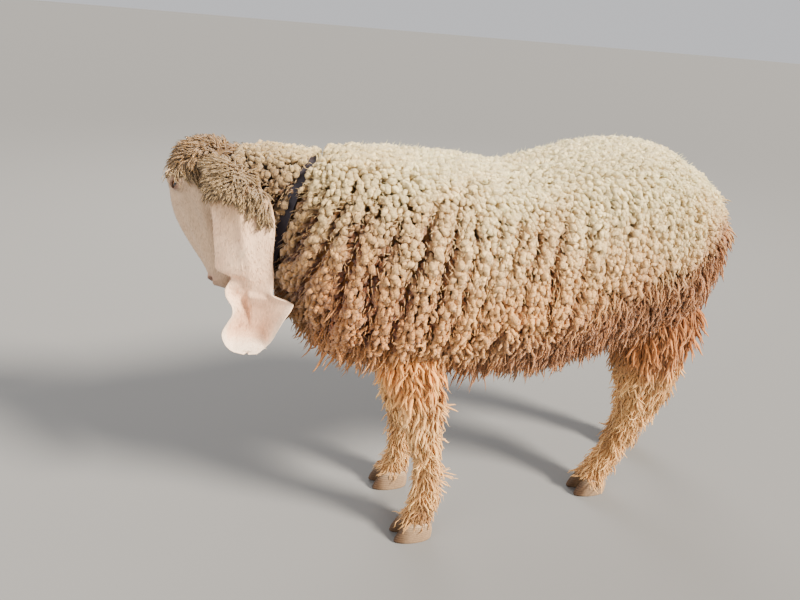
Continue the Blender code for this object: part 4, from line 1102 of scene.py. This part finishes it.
def grow_poll(quick):
    """The short wool of the poll and the back of the head, longer where it hangs over the ears."""
    rng = np.random.default_rng(31)
    tufts = Strands("poll_tufts", "fleece", TUFT_RINGS, TUFT_PROFILE, sides=4, tip=0.22)
    downs, angles, points, normals = spread(skull_points, -0.0115, 0.112, POLL_PITCH[quick], 32, reach=0.002)
    edge = poll_edge(angles)
    keep = downs < edge + rng.uniform(-0.008, 0.006, len(downs))
    downs, angles, points, normals, edge = kept(keep, downs, angles, points, normals, edge)
    count = len(points)
    draw = partial(rng.uniform, size=count)
    crown = 1.0 - ramp(downs, 0.0, 0.03)
    rim = ramp(downs, edge - 0.030, edge)
    behind = ramp(-np.sin(angles), -0.1, 0.6)
    clump = wave_noise(points, 42.0, 61)
    lie = (HEAD_DOWN + HEAD_FRONT * 0.8 * crown[:, None]
           - HEAD_FRONT * (0.25 + 0.5 * behind[:, None]) * (1 - crown)[:, None])
    lie = gathered(points, lie + 0.16 * rng.normal(0, 1, (count, 3)), 0.018, every=10, pull=1.0, rng=rng)
    length = 0.023 + 0.006 * rim + 0.006 * clump + draw(-0.004, 0.004)
    tint = SHADED_POLL_TINT * (1.08 + 0.20 * clump + draw(-0.18, 0.22))[:, None]
    tint = mix(tint, CREAM * 0.90, 0.22 * rim)
    uv = island(0.01, 0.60, (downs + 0.012) / 0.13, angles / TURN)
    width = draw(0.0013, 0.0024)
    tufts.add(points - normals * (poll_inset(downs, angles) + 0.003)[:, None], normals, lie, length, width,
              width * 0.6, 14 + draw(-12, 14) + 12 * rim, 96 - 14 * crown + draw(-16, 20), uv, tint,
              dark=POLL_ROOT, **bends(draw, 0.003, 0.0014, (1.0, 2.0), 1, 1.3))
    count = CROWN_COUNT[quick]
    draw = partial(rng.uniform, size=count)
    angles = draw(0, TURN)
    ring = skull_points(np.full(count, -0.0119), angles)
    middle = ring.mean(axis=0)
    points = middle + (ring - middle) * np.sqrt(draw(0, 1))[:, None]
    normals = -HEAD_DOWN * np.ones((count, 1))
    lie = HEAD_FRONT + 0.7 * rng.normal(0, 1, (count, 3))
    width = draw(0.0013, 0.0024)
    tufts.add(points - normals * 0.012, normals, lie, draw(0.020, 0.028), width, width * 0.6,
              draw(0, 25), draw(70, 100), island(0.01, 0.60, 0.0, angles / TURN),
              SHADED_POLL_TINT * rng.uniform(0.85, 1.30, (count, 1)),
              dark=POLL_ROOT, **bends(draw, 0.003, 0.0014, (1.0, 2.0), 1))
    for side in (1.0, -1.0):
        outer = partial(ear_points, side, out=EAR_THICK / 2)
        count = EAR_TUFTS[quick]
        draw = partial(rng.uniform, size=count)
        across = draw(-0.98, 0.95)
        along = (0.185 + 0.13 * ramp(-across, -0.1, 0.9)) * draw(0.0, 1.0) ** 1.2
        points = outer(along, across)
        normals = surface_normals(outer, along, across, 0.01, 0.05)
        normals = normals * np.sign(np.sum(normals * (HEAD_LEFT * side + UP * 0.6), axis=-1, keepdims=True))
        lie = -UP + 0.3 * HEAD_FORWARD + 0.16 * rng.normal(0, 1, (count, 3))
        lie = gathered(points, lie, 0.020, every=10, pull=1.0, rng=rng)
        tint = mix(SHADED_POLL_TINT, CREAM, 0.12) * (1.08 + draw(-0.18, 0.20))[:, None]
        width = draw(0.0013, 0.0024)
        shift = 0.095 * (1 + side)
        tufts.add(points - normals * 0.003, normals, lie,
                  0.029 * (1.0 - 1.2 * along) + draw(-0.004, 0.008), width, width * 0.6,
                  30 + draw(-14, 14), 92 + draw(-14, 16),
                  island(0.80 - shift, 0.89 - shift, along * 3, 0.5 + 0.45 * across), tint,
                  dark=EAR_ROOT, **bends(draw, 0.003, 0.0014, (1.0, 2.0), 1))
    return tufts


def grow_face_hair(quick):
    """Short hair that lies flat on the face and ears, with lashes on the upper lids."""
    rng = np.random.default_rng(33)
    hairs = Strands("face_hair", "short_hair", HAIR_RINGS, HAIR_PROFILE, sides=3, tip=0.45)
    downs, angles, points, normals = spread(skull_points, 0.020, 0.262, FACE_PITCH[quick], 34, reach=0.002)
    bare = np.zeros(len(points), dtype=bool)
    for side in (1.0, -1.0):
        middle, outward, _, _ = eye_frame(side)
        bare |= np.linalg.norm(points - middle - outward * 0.012, axis=-1) < 0.018
    keep = ~bare & (downs > poll_edge(angles) - 0.004)
    keep &= rng.uniform(0, 1, len(points)) > ramp(downs, 0.235, 0.268)
    downs, angles, points, normals = kept(keep, downs, angles, points, normals)
    count = len(points)
    draw = partial(rng.uniform, size=count)
    lie = unit(HEAD_DOWN - 0.35 * HEAD_FRONT * np.maximum(0, -np.sin(angles))[:, None]
               + 0.16 * rng.normal(0, 1, (count, 3)))
    tint = head_colour(points) * (1.12 + draw(-0.08, 0.12))[:, None]
    uv = island(0.01, 0.56, downs / 0.27, angles / TURN)
    hairs.add(points - normals * (poll_inset(downs, angles) + 0.0008)[:, None], normals, lie,
              draw(0.0055, 0.0085), 0.00044, 0.00024, 66 + draw(-8, 10), 90 + draw(-6, 4), uv, tint,
              sway=draw(-0.001, 0.001), dark=FACE_HAIR_ROOT)
    for side in (1.0, -1.0):
        for face in (1.0, -1.0):
            sheet = partial(ear_points, side, out=face * EAR_THICK / 2)
            count = EAR_HAIRS[quick]
            draw = partial(rng.uniform, size=count)
            along = draw(0.02, 0.985)
            across = draw(-0.97, 0.97)
            points = sheet(along, across)
            normals = surface_normals(sheet, along, across, 0.01, 0.05)
            other = ear_points(side, along, across, -face * EAR_THICK / 2)
            normals = normals * np.sign(np.sum(normals * (points - other), axis=-1, keepdims=True))
            lie = unit(-UP + 0.25 * rng.normal(0, 1, (count, 3)) + HEAD_FORWARD * (0.4 * across)[:, None])
            # The ear's hairs take its colour with the painted shade and highlight, paled towards the rim's
            # highlight colour.
            tint = mix(ear_colour(points, ear_rim(along, across)), EAR_RIM_HIGHLIGHT, 0.35)
            tint = tint * (1.05 + draw(-0.08, 0.10))[:, None]
            grey = np.exp(-((along - 0.42) / 0.12) ** 2 - ((across - 0.5) / 0.35) ** 2)
            tint = mix(tint, EAR_GREY, 0.7 * (grey * (draw(0, 1) < 0.5)))
            patch = 0.72 + 0.1 * side + 0.05 * face
            hairs.add(points - normals * 0.0006, normals, lie, draw(0.006, 0.011),
                      0.00042, 0.00024, 62 + draw(-10, 12), 90 + draw(-6, 5),
                      island(patch - 0.04, patch + 0.04, along, 0.5 + 0.45 * across), tint,
                      sway=draw(-0.0015, 0.0015), dark=EAR_HAIR_ROOT)
        middle, outward, long_way, upward = eye_frame(side)
        turn = np.linspace(0.18, 0.86, LASH_COUNT) * math.pi
        along = SLIT_HALF_LENGTH * 1.04 * np.cos(turn)
        high = SLIT_HALF_HEIGHT * 1.12 * np.maximum(0.0, np.sin(turn)) ** 1.7
        deep = np.sqrt((LID_RADIUS + 0.0008) ** 2 - along ** 2 - high ** 2)
        root = middle + long_way * along[:, None] + upward * high[:, None] + outward * deep[:, None]
        hairs.add(root, unit(root - middle), upward + long_way * (0.5 * along / SLIT_HALF_LENGTH)[:, None],
                  rng.uniform(0.006, 0.009, LASH_COUNT), 0.00030, 0.00030, 5.0, 50.0,
                  island(0.92, 0.99, turn / math.pi, 0.5 + 0.2 * side), LASH * np.ones((LASH_COUNT, 1)))
    return hairs


def poll_edge(angles):
    """How far down the head the poll's wool reaches: to the brow in front and far down behind."""
    facing = np.sin(angles)
    return np.interp(facing, [-1.0, -0.3, 0.2, 0.7, 1.0], [0.100, 0.088, 0.040, 0.032, 0.030])


def poll_inset(downs, angles):
    """How deep the skin of the head lies below the poll's wool."""
    return 0.010 * (1.0 - ramp(downs, poll_edge(angles) - 0.016, poll_edge(angles) + 0.016))


def parting_strength(points, normals):
    """How deep the partings between rows of wool are: most on the shoulder, none on the back."""
    flank = 1.0 - ramp(normals[..., 2], 0.30, 0.85)
    front = 1.0 - 0.70 * ramp(points[..., 0], 0.02, 0.40)
    patchy = np.clip(0.95 + 0.45 * wave_noise(points * np.array([1.0, 1.0, 0.5]), 5.0, 8), 0.3, 1.0)
    return flank * front * patchy


def rust_share(points):
    """How much of the low, long and brown wool there is at places of the trunk, from 0 to 1."""
    x, z = points[..., 0], points[..., 2]
    line = np.maximum(rust_line(x), 0.47)
    return 1.0 - ramp(z + 0.020 * wave_noise(points, 9.0, 12), line - 0.045, line + 0.035)


def by_the_face(points):
    """Whether points of the neck's end lie beside the face, where no wool grows."""
    away = points - POLL
    return (away @ HEAD_FRONT > -0.040) & (away @ HEAD_DOWN > 0.035) & (points[:, 0] < -0.30)


def near_collar(points, reach):
    """Whether points lie in the groove that the collar presses into the wool."""
    row = np.asarray(TRUNK[COLLAR_ROW])
    forward, _, _ = body_axes(row[5], row[6])
    return np.abs((points - row[:3]) @ forward) < 0.008 + reach


# ---- materials ----

def principled(name, inputs):
    """A new material, its nodes and its Principled shader with these inputs."""
    material = bpy.data.materials.new(name)
    material.use_nodes = True
    shader = material.node_tree.nodes["Principled BSDF"]
    set_inputs(shader, inputs)
    return material, material.node_tree, shader


def set_inputs(node, inputs):
    """Give a node's inputs their values."""
    for name, value in inputs.items():
        node.inputs[name].default_value = value
    return node


def add_node(tree, kind, **inputs):
    """A new shader node with these inputs."""
    return set_inputs(tree.nodes.new("ShaderNode" + kind), inputs)


def tint_node(tree):
    """A node that reads the points' tint."""
    tint = add_node(tree, "Attribute")
    tint.attribute_name = "tint"
    return tint


def new_material(name, roughness, sheen, grain, relief, crimp=0.0, streak=1.0):
    """A Principled material that takes its colour from the points' tint, its grain drawn out in Z."""
    material, tree, shader = principled(name, {"Roughness": roughness, "Specular IOR Level": 0.25,
                                               "Sheen Weight": sheen, "Sheen Roughness": 0.6})
    tint = tint_node(tree)
    noise = add_node(tree, "TexNoise", Scale=grain, Detail=3.0, Roughness=0.65)
    place = add_node(tree, "TexCoord")
    draw = add_node(tree, "Mapping", Scale=(1.0, 1.0, streak))
    grade = set_inputs(add_node(tree, "MapRange"),
                       {"From Min": 0.30, "From Max": 0.70, "To Min": 0.74, "To Max": 1.16})
    blend = add_node(tree, "VectorMath")
    blend.operation = "SCALE"
    bump = add_node(tree, "Bump", Strength=0.9, Distance=relief)
    links = [(place, "Object", draw, "Vector"), (draw, "Vector", noise, "Vector"),
             (noise, "Fac", grade, "Value"), (tint, "Color", blend, 0), (grade, "Result", blend, "Scale"),
             (blend, "Vector", shader, "Base Color"), (noise, "Fac", bump, "Height")]
    last = bump
    if crimp:
        strand = add_node(tree, "UVMap")
        strand.uv_map = "Strand"
        wave = add_node(tree, "TexWave", Scale=crimp, Distortion=2.5, Detail=1.0)
        wave.bands_direction = "Y"
        last = add_node(tree, "Bump", Strength=0.8, Distance=relief * 0.8)
        links += [(strand, "UV", wave, "Vector"), (wave, "Fac", last, "Height"),
                  (bump, "Normal", last, "Normal")]
    for start, output, end, name in links + [(last, "Normal", shader, "Normal")]:
        tree.links.new(start.outputs[output], end.inputs[name])
    return material


def plain_tinted(name, roughness):
    """A glossy material that takes its colour from the points' tint."""
    material, tree, shader = principled(name, {"Roughness": roughness, "Coat Weight": 1.0,
                                               "Coat Roughness": 0.03})
    tree.links.new(tint_node(tree).outputs["Color"], shader.inputs["Base Color"])
    return material


def plain_material(name, colour, roughness):
    """A Principled material of one colour."""
    return principled(name, {"Base Color": (*colour, 1.0), "Roughness": roughness})[0]


# ---- the scene ----

def make_camera():
    """The camera that took the view."""
    data = bpy.data.cameras.new("camera")
    data.lens = CAMERA_LENS
    data.sensor_width = SENSOR_WIDTH
    camera = bpy.data.objects.new("camera", data)
    matrix = Matrix((CAMERA_RIGHT, CAMERA_UP, [-v for v in CAMERA_FORWARD])).transposed().to_4x4()
    matrix.translation = Vector(CAMERA_PLACE)
    camera.matrix_world = matrix
    bpy.context.scene.collection.objects.link(camera)
    bpy.context.scene.camera = camera


def make_light():
    """Soft studio light from above and both sides."""
    scene = bpy.context.scene
    world = bpy.data.worlds.new("studio")
    world.use_nodes = True
    set_inputs(world.node_tree.nodes["Background"], {"Color": WORLD_COLOUR, "Strength": WORLD_STRENGTH})
    scene.world = world
    for name, kind, place, size, power, colour in LIGHTS:
        data = bpy.data.lights.new(name, kind)
        data.energy = power
        data.color = colour
        if kind == "SUN":
            data.angle = size
        else:
            data.size = size
        lamp = bpy.data.objects.new(name, data)
        lamp.location = place
        lamp.rotation_euler = (Vector(LIGHTS_AIM) - Vector(place)).to_track_quat("-Z", "Y").to_euler()
        scene.collection.objects.link(lamp)


def make_floor():
    """A plain pale floor."""
    bpy.ops.mesh.primitive_plane_add(size=FLOOR_SIZE, location=(0.0, 0.0, 0.0))
    floor = bpy.context.object
    floor.name = "floor"
    floor.data.materials.append(plain_material("floor_paper", PAPER, roughness=0.95))


def ring_grid(points_at, first, last, size):
    """Rings of points of a surface, even along it and round it, in so many rows and columns."""
    return points_at(np.linspace(first, last, size[0])[:, None], np.broadcast_to(circle(size[1]), size))


def head_loft():
    """The skin of the head, with closer rows where the muzzle and eyes are."""
    downs = np.concatenate([np.linspace(low, high, rows, endpoint=high == HEAD_ROWS[-1][1])
                            for low, high, rows in HEAD_ROWS])
    downs, angles = np.broadcast_arrays(downs[:, None], circle(HEAD_COLUMNS))
    sunk = surface_normals(skull_points, downs, angles, 0.002) * poll_inset(downs, angles)[..., None]
    return closed_loft("skin_head", skull_points(downs, angles) - sunk)


def slit_edge(count, grow=1.0):
    """The almond outline of the open lids: distances along it and above its middle."""
    turn = circle(count)
    along = SLIT_HALF_LENGTH * grow * np.cos(turn)
    bow = np.maximum(0.0, 1.0 - np.cos(turn) ** 2) ** 0.85
    return along, SLIT_HALF_HEIGHT * grow * bow * np.where(np.sin(turn) > 0, 1.0, -0.72)


def lid_opening(side):
    """The prism that opens the lids."""
    middle, outward, long_way, upward = eye_frame(side)
    along, high = slit_edge(64)
    rings = [middle + outward * level + long_way * (along * grow)[:, None] + upward * (high * grow)[:, None]
             for level, grow in ((0.0035, 0.86), (0.0145, 0.96), (0.0150, 1.02), (0.0240, 1.50))]
    return closed_loft("opening", np.array(rings))


def lid_margin(side):
    """The rounded edge of the lids, a ring along the opening."""
    middle, outward, long_way, upward = eye_frame(side)
    count, columns = LID_COLUMNS
    along, high = slit_edge(count, 1.03)
    radius = LID_RADIUS + 0.0002
    deep = np.sqrt(radius ** 2 - along ** 2 - high ** 2)
    path = middle + long_way * along[:, None] + upward * high[:, None] + outward * deep[:, None]
    away = unit(path - middle)
    run = unit(np.roll(path, -1, axis=0) - np.roll(path, 1, axis=0))
    across = np.cross(run, away)
    sides = circle(columns)
    ring = path[:, None] + LID_MARGIN * (away[:, None] * np.cos(sides)[None, :, None]
                                         + across[:, None] * np.sin(sides)[None, :, None])
    i = np.arange(count)[:, None]
    j = np.arange(columns)[None, :]
    here, beyond, right = i * columns, (i + 1) % count * columns, (j + 1) % columns
    faces = stacked(here + j, here + right, beyond + right, beyond + j).reshape(-1, 4)
    return facing_out(mesh_object("margin", ring.reshape(-1, 3), [faces]))


def hoof(name):
    """A cloven hoof: two horn claws with growth lines, and the soft heel behind them."""
    x, y = leg_table(name)[-1][:2]
    turns = circle(HOOF_COLUMNS)
    height = np.concatenate([[0.0, 0.0014], np.linspace(0.003, HOOF_TOP, 36),
                             [HOOF_TOP + 0.002, HOOF_TOP + 0.004]])
    row = table_at(CLAW, height)[:, None]
    ease = np.interp(height, [0.0, 0.0014, HOOF_TOP, HOOF_TOP + 0.004], [0.965, 1.0, 1.0, 0.80])[:, None]
    lines = np.sin(height * TURN / GROWTH_LINE + 0.7) * ramp(height, 0.004, 0.010)
    lines = 1.0 + 0.010 * lines[:, None]
    along, across = oval(turns, 2.4)
    reach = np.where(along < 0, row[..., 1], row[..., 2]) * ease * lines
    taper = 1.0 - 0.35 * np.maximum(0.0, -along) ** 2
    wide = CLAW_HALF_WIDTH * row[..., 3] * taper * ease * lines
    middles = [y + side * (CLAW_HALF_WIDTH + CLEFT / 2) for side in (-1.0, 1.0)]
    parts = [closed_loft("claw", stacked(x + reach * along, middle + wide * across, height[:, None]))
             for middle in middles]
    level = np.linspace(0.0035, HOOF_TOP + 0.003, 20)
    size = np.interp(level, [0.0035, 0.008, 0.020, HOOF_TOP], [0.62, 0.86, 1.0, 0.95])[:, None]
    along, across = oval(turns, 2.2)
    points = stacked(x + 0.010 + 0.018 * size * along, y + 0.016 * size * across, level[:, None])
    obj = combine(closed_loft("hoof_" + name + "_horn", points), parts, "UNION")
    place = points_of(obj)
    worn = wave_noise(place, 60.0, 80)
    colour = mix(HORN, HORN_TOE, ramp(x - 0.012 - place[:, 0] + 0.004 * worn, 0.0, 0.030))
    colour = mix(colour, HORN_TOP, 0.35 * ramp(place[:, 2], 0.030, 0.042))
    colour = colour * (1.0 + 0.10 * np.sin(place[:, 2] * TURN / GROWTH_LINE) + 0.08 * worn)[:, None]
    paint(obj, np.clip(colour, 0.0, 1.0))
    return obj


def eye_ball(side):
    """An eye with its amber iris and level pupil."""
    middle, outward, long_way, upward = eye_frame(side)
    tilt = np.concatenate([np.linspace(0.0, 1.15, 90), np.linspace(1.18, math.pi - 0.02, 24)])[1:, None]
    turn = circle(EYE_COLUMNS)
    bulge = EYE_RADIUS + 0.0008 * bell(tilt, 0.55, 4)
    along = bulge * np.sin(tilt) * np.cos(turn)
    high = bulge * np.sin(tilt) * np.sin(turn)
    deep = bulge * np.cos(tilt)
    grid = middle + long_way * along[..., None] + upward * high[..., None] + outward * deep[..., None]
    obj = closed_loft("eyeball_left" if side > 0 else "eyeball_right", grid)
    points = points_of(obj) - middle
    a, b = points @ long_way, points @ upward
    reach = np.sqrt(a * a + b * b)
    box = np.maximum(np.abs(a) / PUPIL_HALF_LENGTH, np.abs(b) / PUPIL_HALF_HEIGHT) ** 2 * 0.6 \
        + ((a / PUPIL_HALF_LENGTH) ** 2 + (b / PUPIL_HALF_HEIGHT) ** 2) * 0.4
    spokes = 1.0 + 0.16 * np.sin(np.arctan2(b, a) * 38.0 + 4.0 * np.sin(reach * 1400.0))
    iris = mix(IRIS * spokes[:, None], IRIS_EDGE, ramp(reach, IRIS_RADIUS * 0.72, IRIS_RADIUS))
    colour = mix(iris, EYE_WHITE, ramp(reach, IRIS_RADIUS, IRIS_RADIUS * 1.06))
    colour = mix(PUPIL, colour, ramp(box, 0.85, 1.15))
    colour = np.where((points @ outward > 0)[:, None], colour, EYE_WHITE)
    paint(obj, np.clip(colour, 0.0, 1.0))
    return obj


def ear_loft(side):
    """The skin of an ear, both sides and its rounded rim."""
    along = np.linspace(0.0, 1.0, EAR_GRID[0])[:, None]
    front = np.sin(np.linspace(-0.5, 0.5, EAR_GRID[1]) * math.pi * 0.92) / math.sin(0.46 * math.pi)
    rim = np.maximum(np.abs(front), ramp(along, 0.90, 1.0))
    bead = 1.0 + 1.0 * ramp(along, 0.64, 0.76) * ramp(rim, 0.80, 0.93)
    edge = np.sqrt(np.maximum(0.0, 1.0 - rim ** 16)) * bead
    half = EAR_THICK / 2
    outer, inner = (ear_points(side, along, front, out * edge) for out in (half, -half))
    grid = np.concatenate([outer, inner[:, ::-1][:, 1:-1]], axis=1)
    return closed_loft("skin_ear", grid)


def combine(first, parts, operation):
    """Fuse closed bodies with the first one, or cut them from it."""
    collection = bpy.data.collections.new("parts")
    for obj in parts:
        bpy.context.scene.collection.objects.unlink(obj)
        collection.objects.link(obj)
    modifier = first.modifiers.new("combine", "BOOLEAN")
    modifier.operation = operation
    modifier.operand_type = "COLLECTION"
    modifier.collection = collection
    modifier.solver = "MANIFOLD"
    graph = bpy.context.evaluated_depsgraph_get()
    mesh = bpy.data.meshes.new_from_object(first.evaluated_get(graph), depsgraph=graph)
    first.modifiers.clear()
    first.data = mesh
    for obj in list(collection.objects):
        bpy.data.objects.remove(obj, do_unlink=True)
    bpy.data.collections.remove(collection)
    mesh.shade_smooth()
    return first


def ear_rim(along, across):
    """How near a place of an ear is to its edge, from 0 in the middle to 1."""
    return np.maximum(np.abs(across), ramp(along, 0.80, 1.0))


def part_of_skin(points):
    """Which part each point of the skin belongs to, coat 0, head 1 or ear 2, and its ear_rim."""
    grids = [(ring_grid(body_skin, 0.0, LAST_PLACE, LONG_SEARCH), 0)]
    grids += [(ring_grid(partial(leg_points, name), 0.0, LAST_LEG, LEG_SEARCH), 0) for name in LEGS]
    grids.append((ring_grid(skull_points, SKULL[0][0], SKULL[-1][0], LONG_SEARCH), 1))
    for side in (1.0, -1.0):
        along, across = np.meshgrid(np.linspace(0.03, 1.0, EAR_SEARCH[0]),
                                    np.linspace(-1.0, 1.0, EAR_SEARCH[1]), indexing="ij")
        grids.append((ear_points(side, along, across, 0.0), 2))
    tree = KDTree(sum(grid.size // 3 for grid, _ in grids))
    kinds = []
    for grid, kind in grids:
        for point in grid.reshape(-1, 3):
            tree.insert(point, len(kinds))
            kinds.append(kind)
    tree.balance()
    found = np.array([tree.find(point)[1] for point in points])
    rims = np.concatenate([np.zeros(len(kinds) - 2 * along.size), np.tile(ear_rim(along, across).ravel(), 2)])
    return np.array(kinds)[found], rims[found]


def head_colour(points):
    """The colour of the face: pale short hair, darker muzzle, dark lids, with painted shade under the poll's
    wool, behind the jaw, in the mouth's crease, the nostrils and the groove of the nose.
    """
    down = (points - POLL) @ HEAD_DOWN
    front = (points - POLL) @ HEAD_FRONT
    out = (points - POLL) @ HEAD_LEFT
    blotch = wave_noise(points, 18.0, 31)
    fine = wave_noise(points, 70.0, 32)
    face = FACE_TINT * (1.0 + 0.05 * blotch + 0.04 * fine)[..., None]
    face = mix(face, FACE_SHADE, 0.60 * ramp(down, 0.205, 0.262))
    # Painted shade: the skin under the poll's wool is dark.
    edge = poll_edge(np.arctan2(front, out))
    face = mix(face, SHADED_POLL_TINT * 0.40, 1.0 - ramp(down, edge - 0.014, edge - 0.003))
    # Painted shade behind the jaw.
    jaw = ramp(-front, 0.030, 0.046) * ramp(down, 0.04, 0.08) * (1.0 - ramp(down, 0.15, 0.19))
    face = mix(face, FACE_SHADE * 0.45, 0.9 * jaw)
    off, inside = mouth_line(down, front)
    # Painted shade in the crease of the mouth.
    face = mix(face, LID_TINT * 0.5, 0.9 * inside * bell(off, 0.0016))
    face = mix(face, LIP_TINT, 0.6 * inside * bell(off, 0.0070))
    along, cross, ahead = nostril_place(down, front, out)
    face = mix(face, LIP_TINT, 0.6 * ahead * slit(along, cross, 0.0150, 0.0090))
    # Painted shade in the nostril slits and down the groove of the nose.
    face = mix(face, LID_TINT * 0.4, 0.9 * ahead * slit(along, cross, 0.0100, 0.0026))
    face = mix(face, LID_TINT, 0.5 * ahead * bell(out, 0.0016) * ramp(down, 0.240, 0.252))
    for side in (1.0, -1.0):
        middle, _, long_way, upward = eye_frame(side)
        away = points - middle
        along, high = np.sum(away * long_way, axis=-1), np.sum(away * upward, axis=-1)
        reach = np.sqrt((along / 1.5) ** 2 + high ** 2)
        near = np.linalg.norm(away, axis=-1) < 0.05
        face = mix(face, LID_TINT, np.where(near, 0.85 * (1.0 - ramp(reach, 0.0062, 0.0125)), 0.0))
    return face


def ear_colour(points, rim):
    """The colour of an ear: pinkish cream, with painted shade towards its lower end, deepest in the cup, a
    painted highlight on the rim there, and painted shade at its root under the poll's wool.
    """
    # Painted shade: darker towards the lower end and deepest in the cup.
    low = ramp(-points[..., 2], -0.62, -0.46)
    cup_shade = low * (1.0 - ramp(rim, 0.45, 0.85))
    tint = mix(EAR_TINT, EAR_SHADE, 0.15 * low + 0.65 * cup_shade + 0.12 * wave_noise(points, 14.0, 35))
    # Painted highlight on the rim of the lower end.
    tint = mix(tint, EAR_RIM_HIGHLIGHT, 0.7 * low * ramp(rim, 0.80, 0.95))
    # Painted shade at the root, under the poll's wool.
    high = ramp(points[..., 2] + 0.012 * wave_noise(points, 22.0, 37), 0.640, 0.735)
    tint = mix(tint, SHADED_POLL_TINT * 0.9, 0.75 * high)
    return tint * (1.0 + 0.03 * wave_noise(points, 60.0, 36))[..., None]


def skin_colour(points):
    """The colour of the skin and its short hair, painted dark as shade where it lies under the fleece."""
    kind, rim = part_of_skin(points)
    kind = kind[:, None]
    # Painted shade: the skin under the fleece is dark brown, as the shade between the locks.
    coat = coat_colour(points) * np.array([0.40, 0.32, 0.24])
    away = points - POLL
    # Painted shade, darker still, where the throat meets the face.
    throat_shade = ramp(away @ HEAD_FRONT, -0.085, -0.060) * ramp(away @ HEAD_DOWN, 0.01, 0.04)
    throat_shade = ramp(-points[:, 0], 0.28, 0.31) * throat_shade
    coat = mix(coat, FACE_SHADE * 0.35, throat_shade)
    # Painted shade in the groove that the collar presses into the wool.
    coat = np.where(near_collar(points, 0.024)[:, None], coat * 0.45, coat)
    return np.where(kind == 2, ear_colour(points, rim), np.where(kind == 1, head_colour(points), coat))


make_camera()
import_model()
make_light()
make_floor()

fleece = new_material("fleece_wool", roughness=0.95, sheen=0.35, grain=380.0, relief=0.0022, crimp=60.0)
leg_wool = new_material("leg_wool_hair", roughness=0.9, sheen=0.2, grain=300.0, relief=0.0012)
hide = new_material("short_hair_skin", roughness=0.75, sheen=0.15, grain=620.0, relief=0.0008, streak=0.16)

skin = combine(head_loft(), [lid_opening(side) for side in (1.0, -1.0)], "DIFFERENCE")
limbs = [closed_loft("limb", ring_grid(body_skin, 0.0, LAST_PLACE, TRUNK_GRID)),
         closed_loft("limb", ring_grid(partial(tail_points, out=TAIL_SKIN), 0.0, LAST_TAIL, TAIL_GRID))]
limbs += [closed_loft("limb", ring_grid(partial(leg_points, name, out=LEG_SKIN), 0.0, LAST_LEG, LEG_GRID))
          for name in LEGS]
skin = combine(skin, limbs + [part(side) for part in (ear_loft, lid_margin) for side in (1.0, -1.0)], "UNION")
skin.name = "skin"
paint(skin, np.clip(skin_colour(points_of(skin)), 0.0, 1.0))
skin.data.materials.clear()
skin.data.materials.append(hide)
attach(skin, "root")
flesh = ["torso", "neck", "head", "tail", "ear_left", "ear_right"]
flesh += ["leg_" + name for name in LEGS] + ["shank_" + name for name in LEGS]
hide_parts(*flesh)

collar = bpy.data.objects["collar"].data
collar.materials.clear()
collar.materials.append(plain_material("collar_webbing", WEBBING, roughness=0.7))

horn = new_material("hoof_horn", roughness=0.5, sheen=0.0, grain=420.0, relief=0.0004)
for name in LEGS:
    foot = hoof(name)
    foot.data.materials.clear()
    foot.data.materials.append(horn)
    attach(foot, "root")
    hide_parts("hoof_" + name)

gloss = plain_tinted("wet_eye", roughness=0.06)
for side, name in ((1.0, "eye_left"), (-1.0, "eye_right")):
    ball = eye_ball(side)
    ball.data.materials.append(gloss)
    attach(ball, "root")
    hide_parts(name)

for grow in (grow_fleece, grow_long_wool, grow_fringe, grow_wisps, grow_tail, grow_poll):
    grow(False).make(fleece)
grow_face_hair(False).make(hide)
for strands in grow_leg_wool(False):
    strands.make(leg_wool)
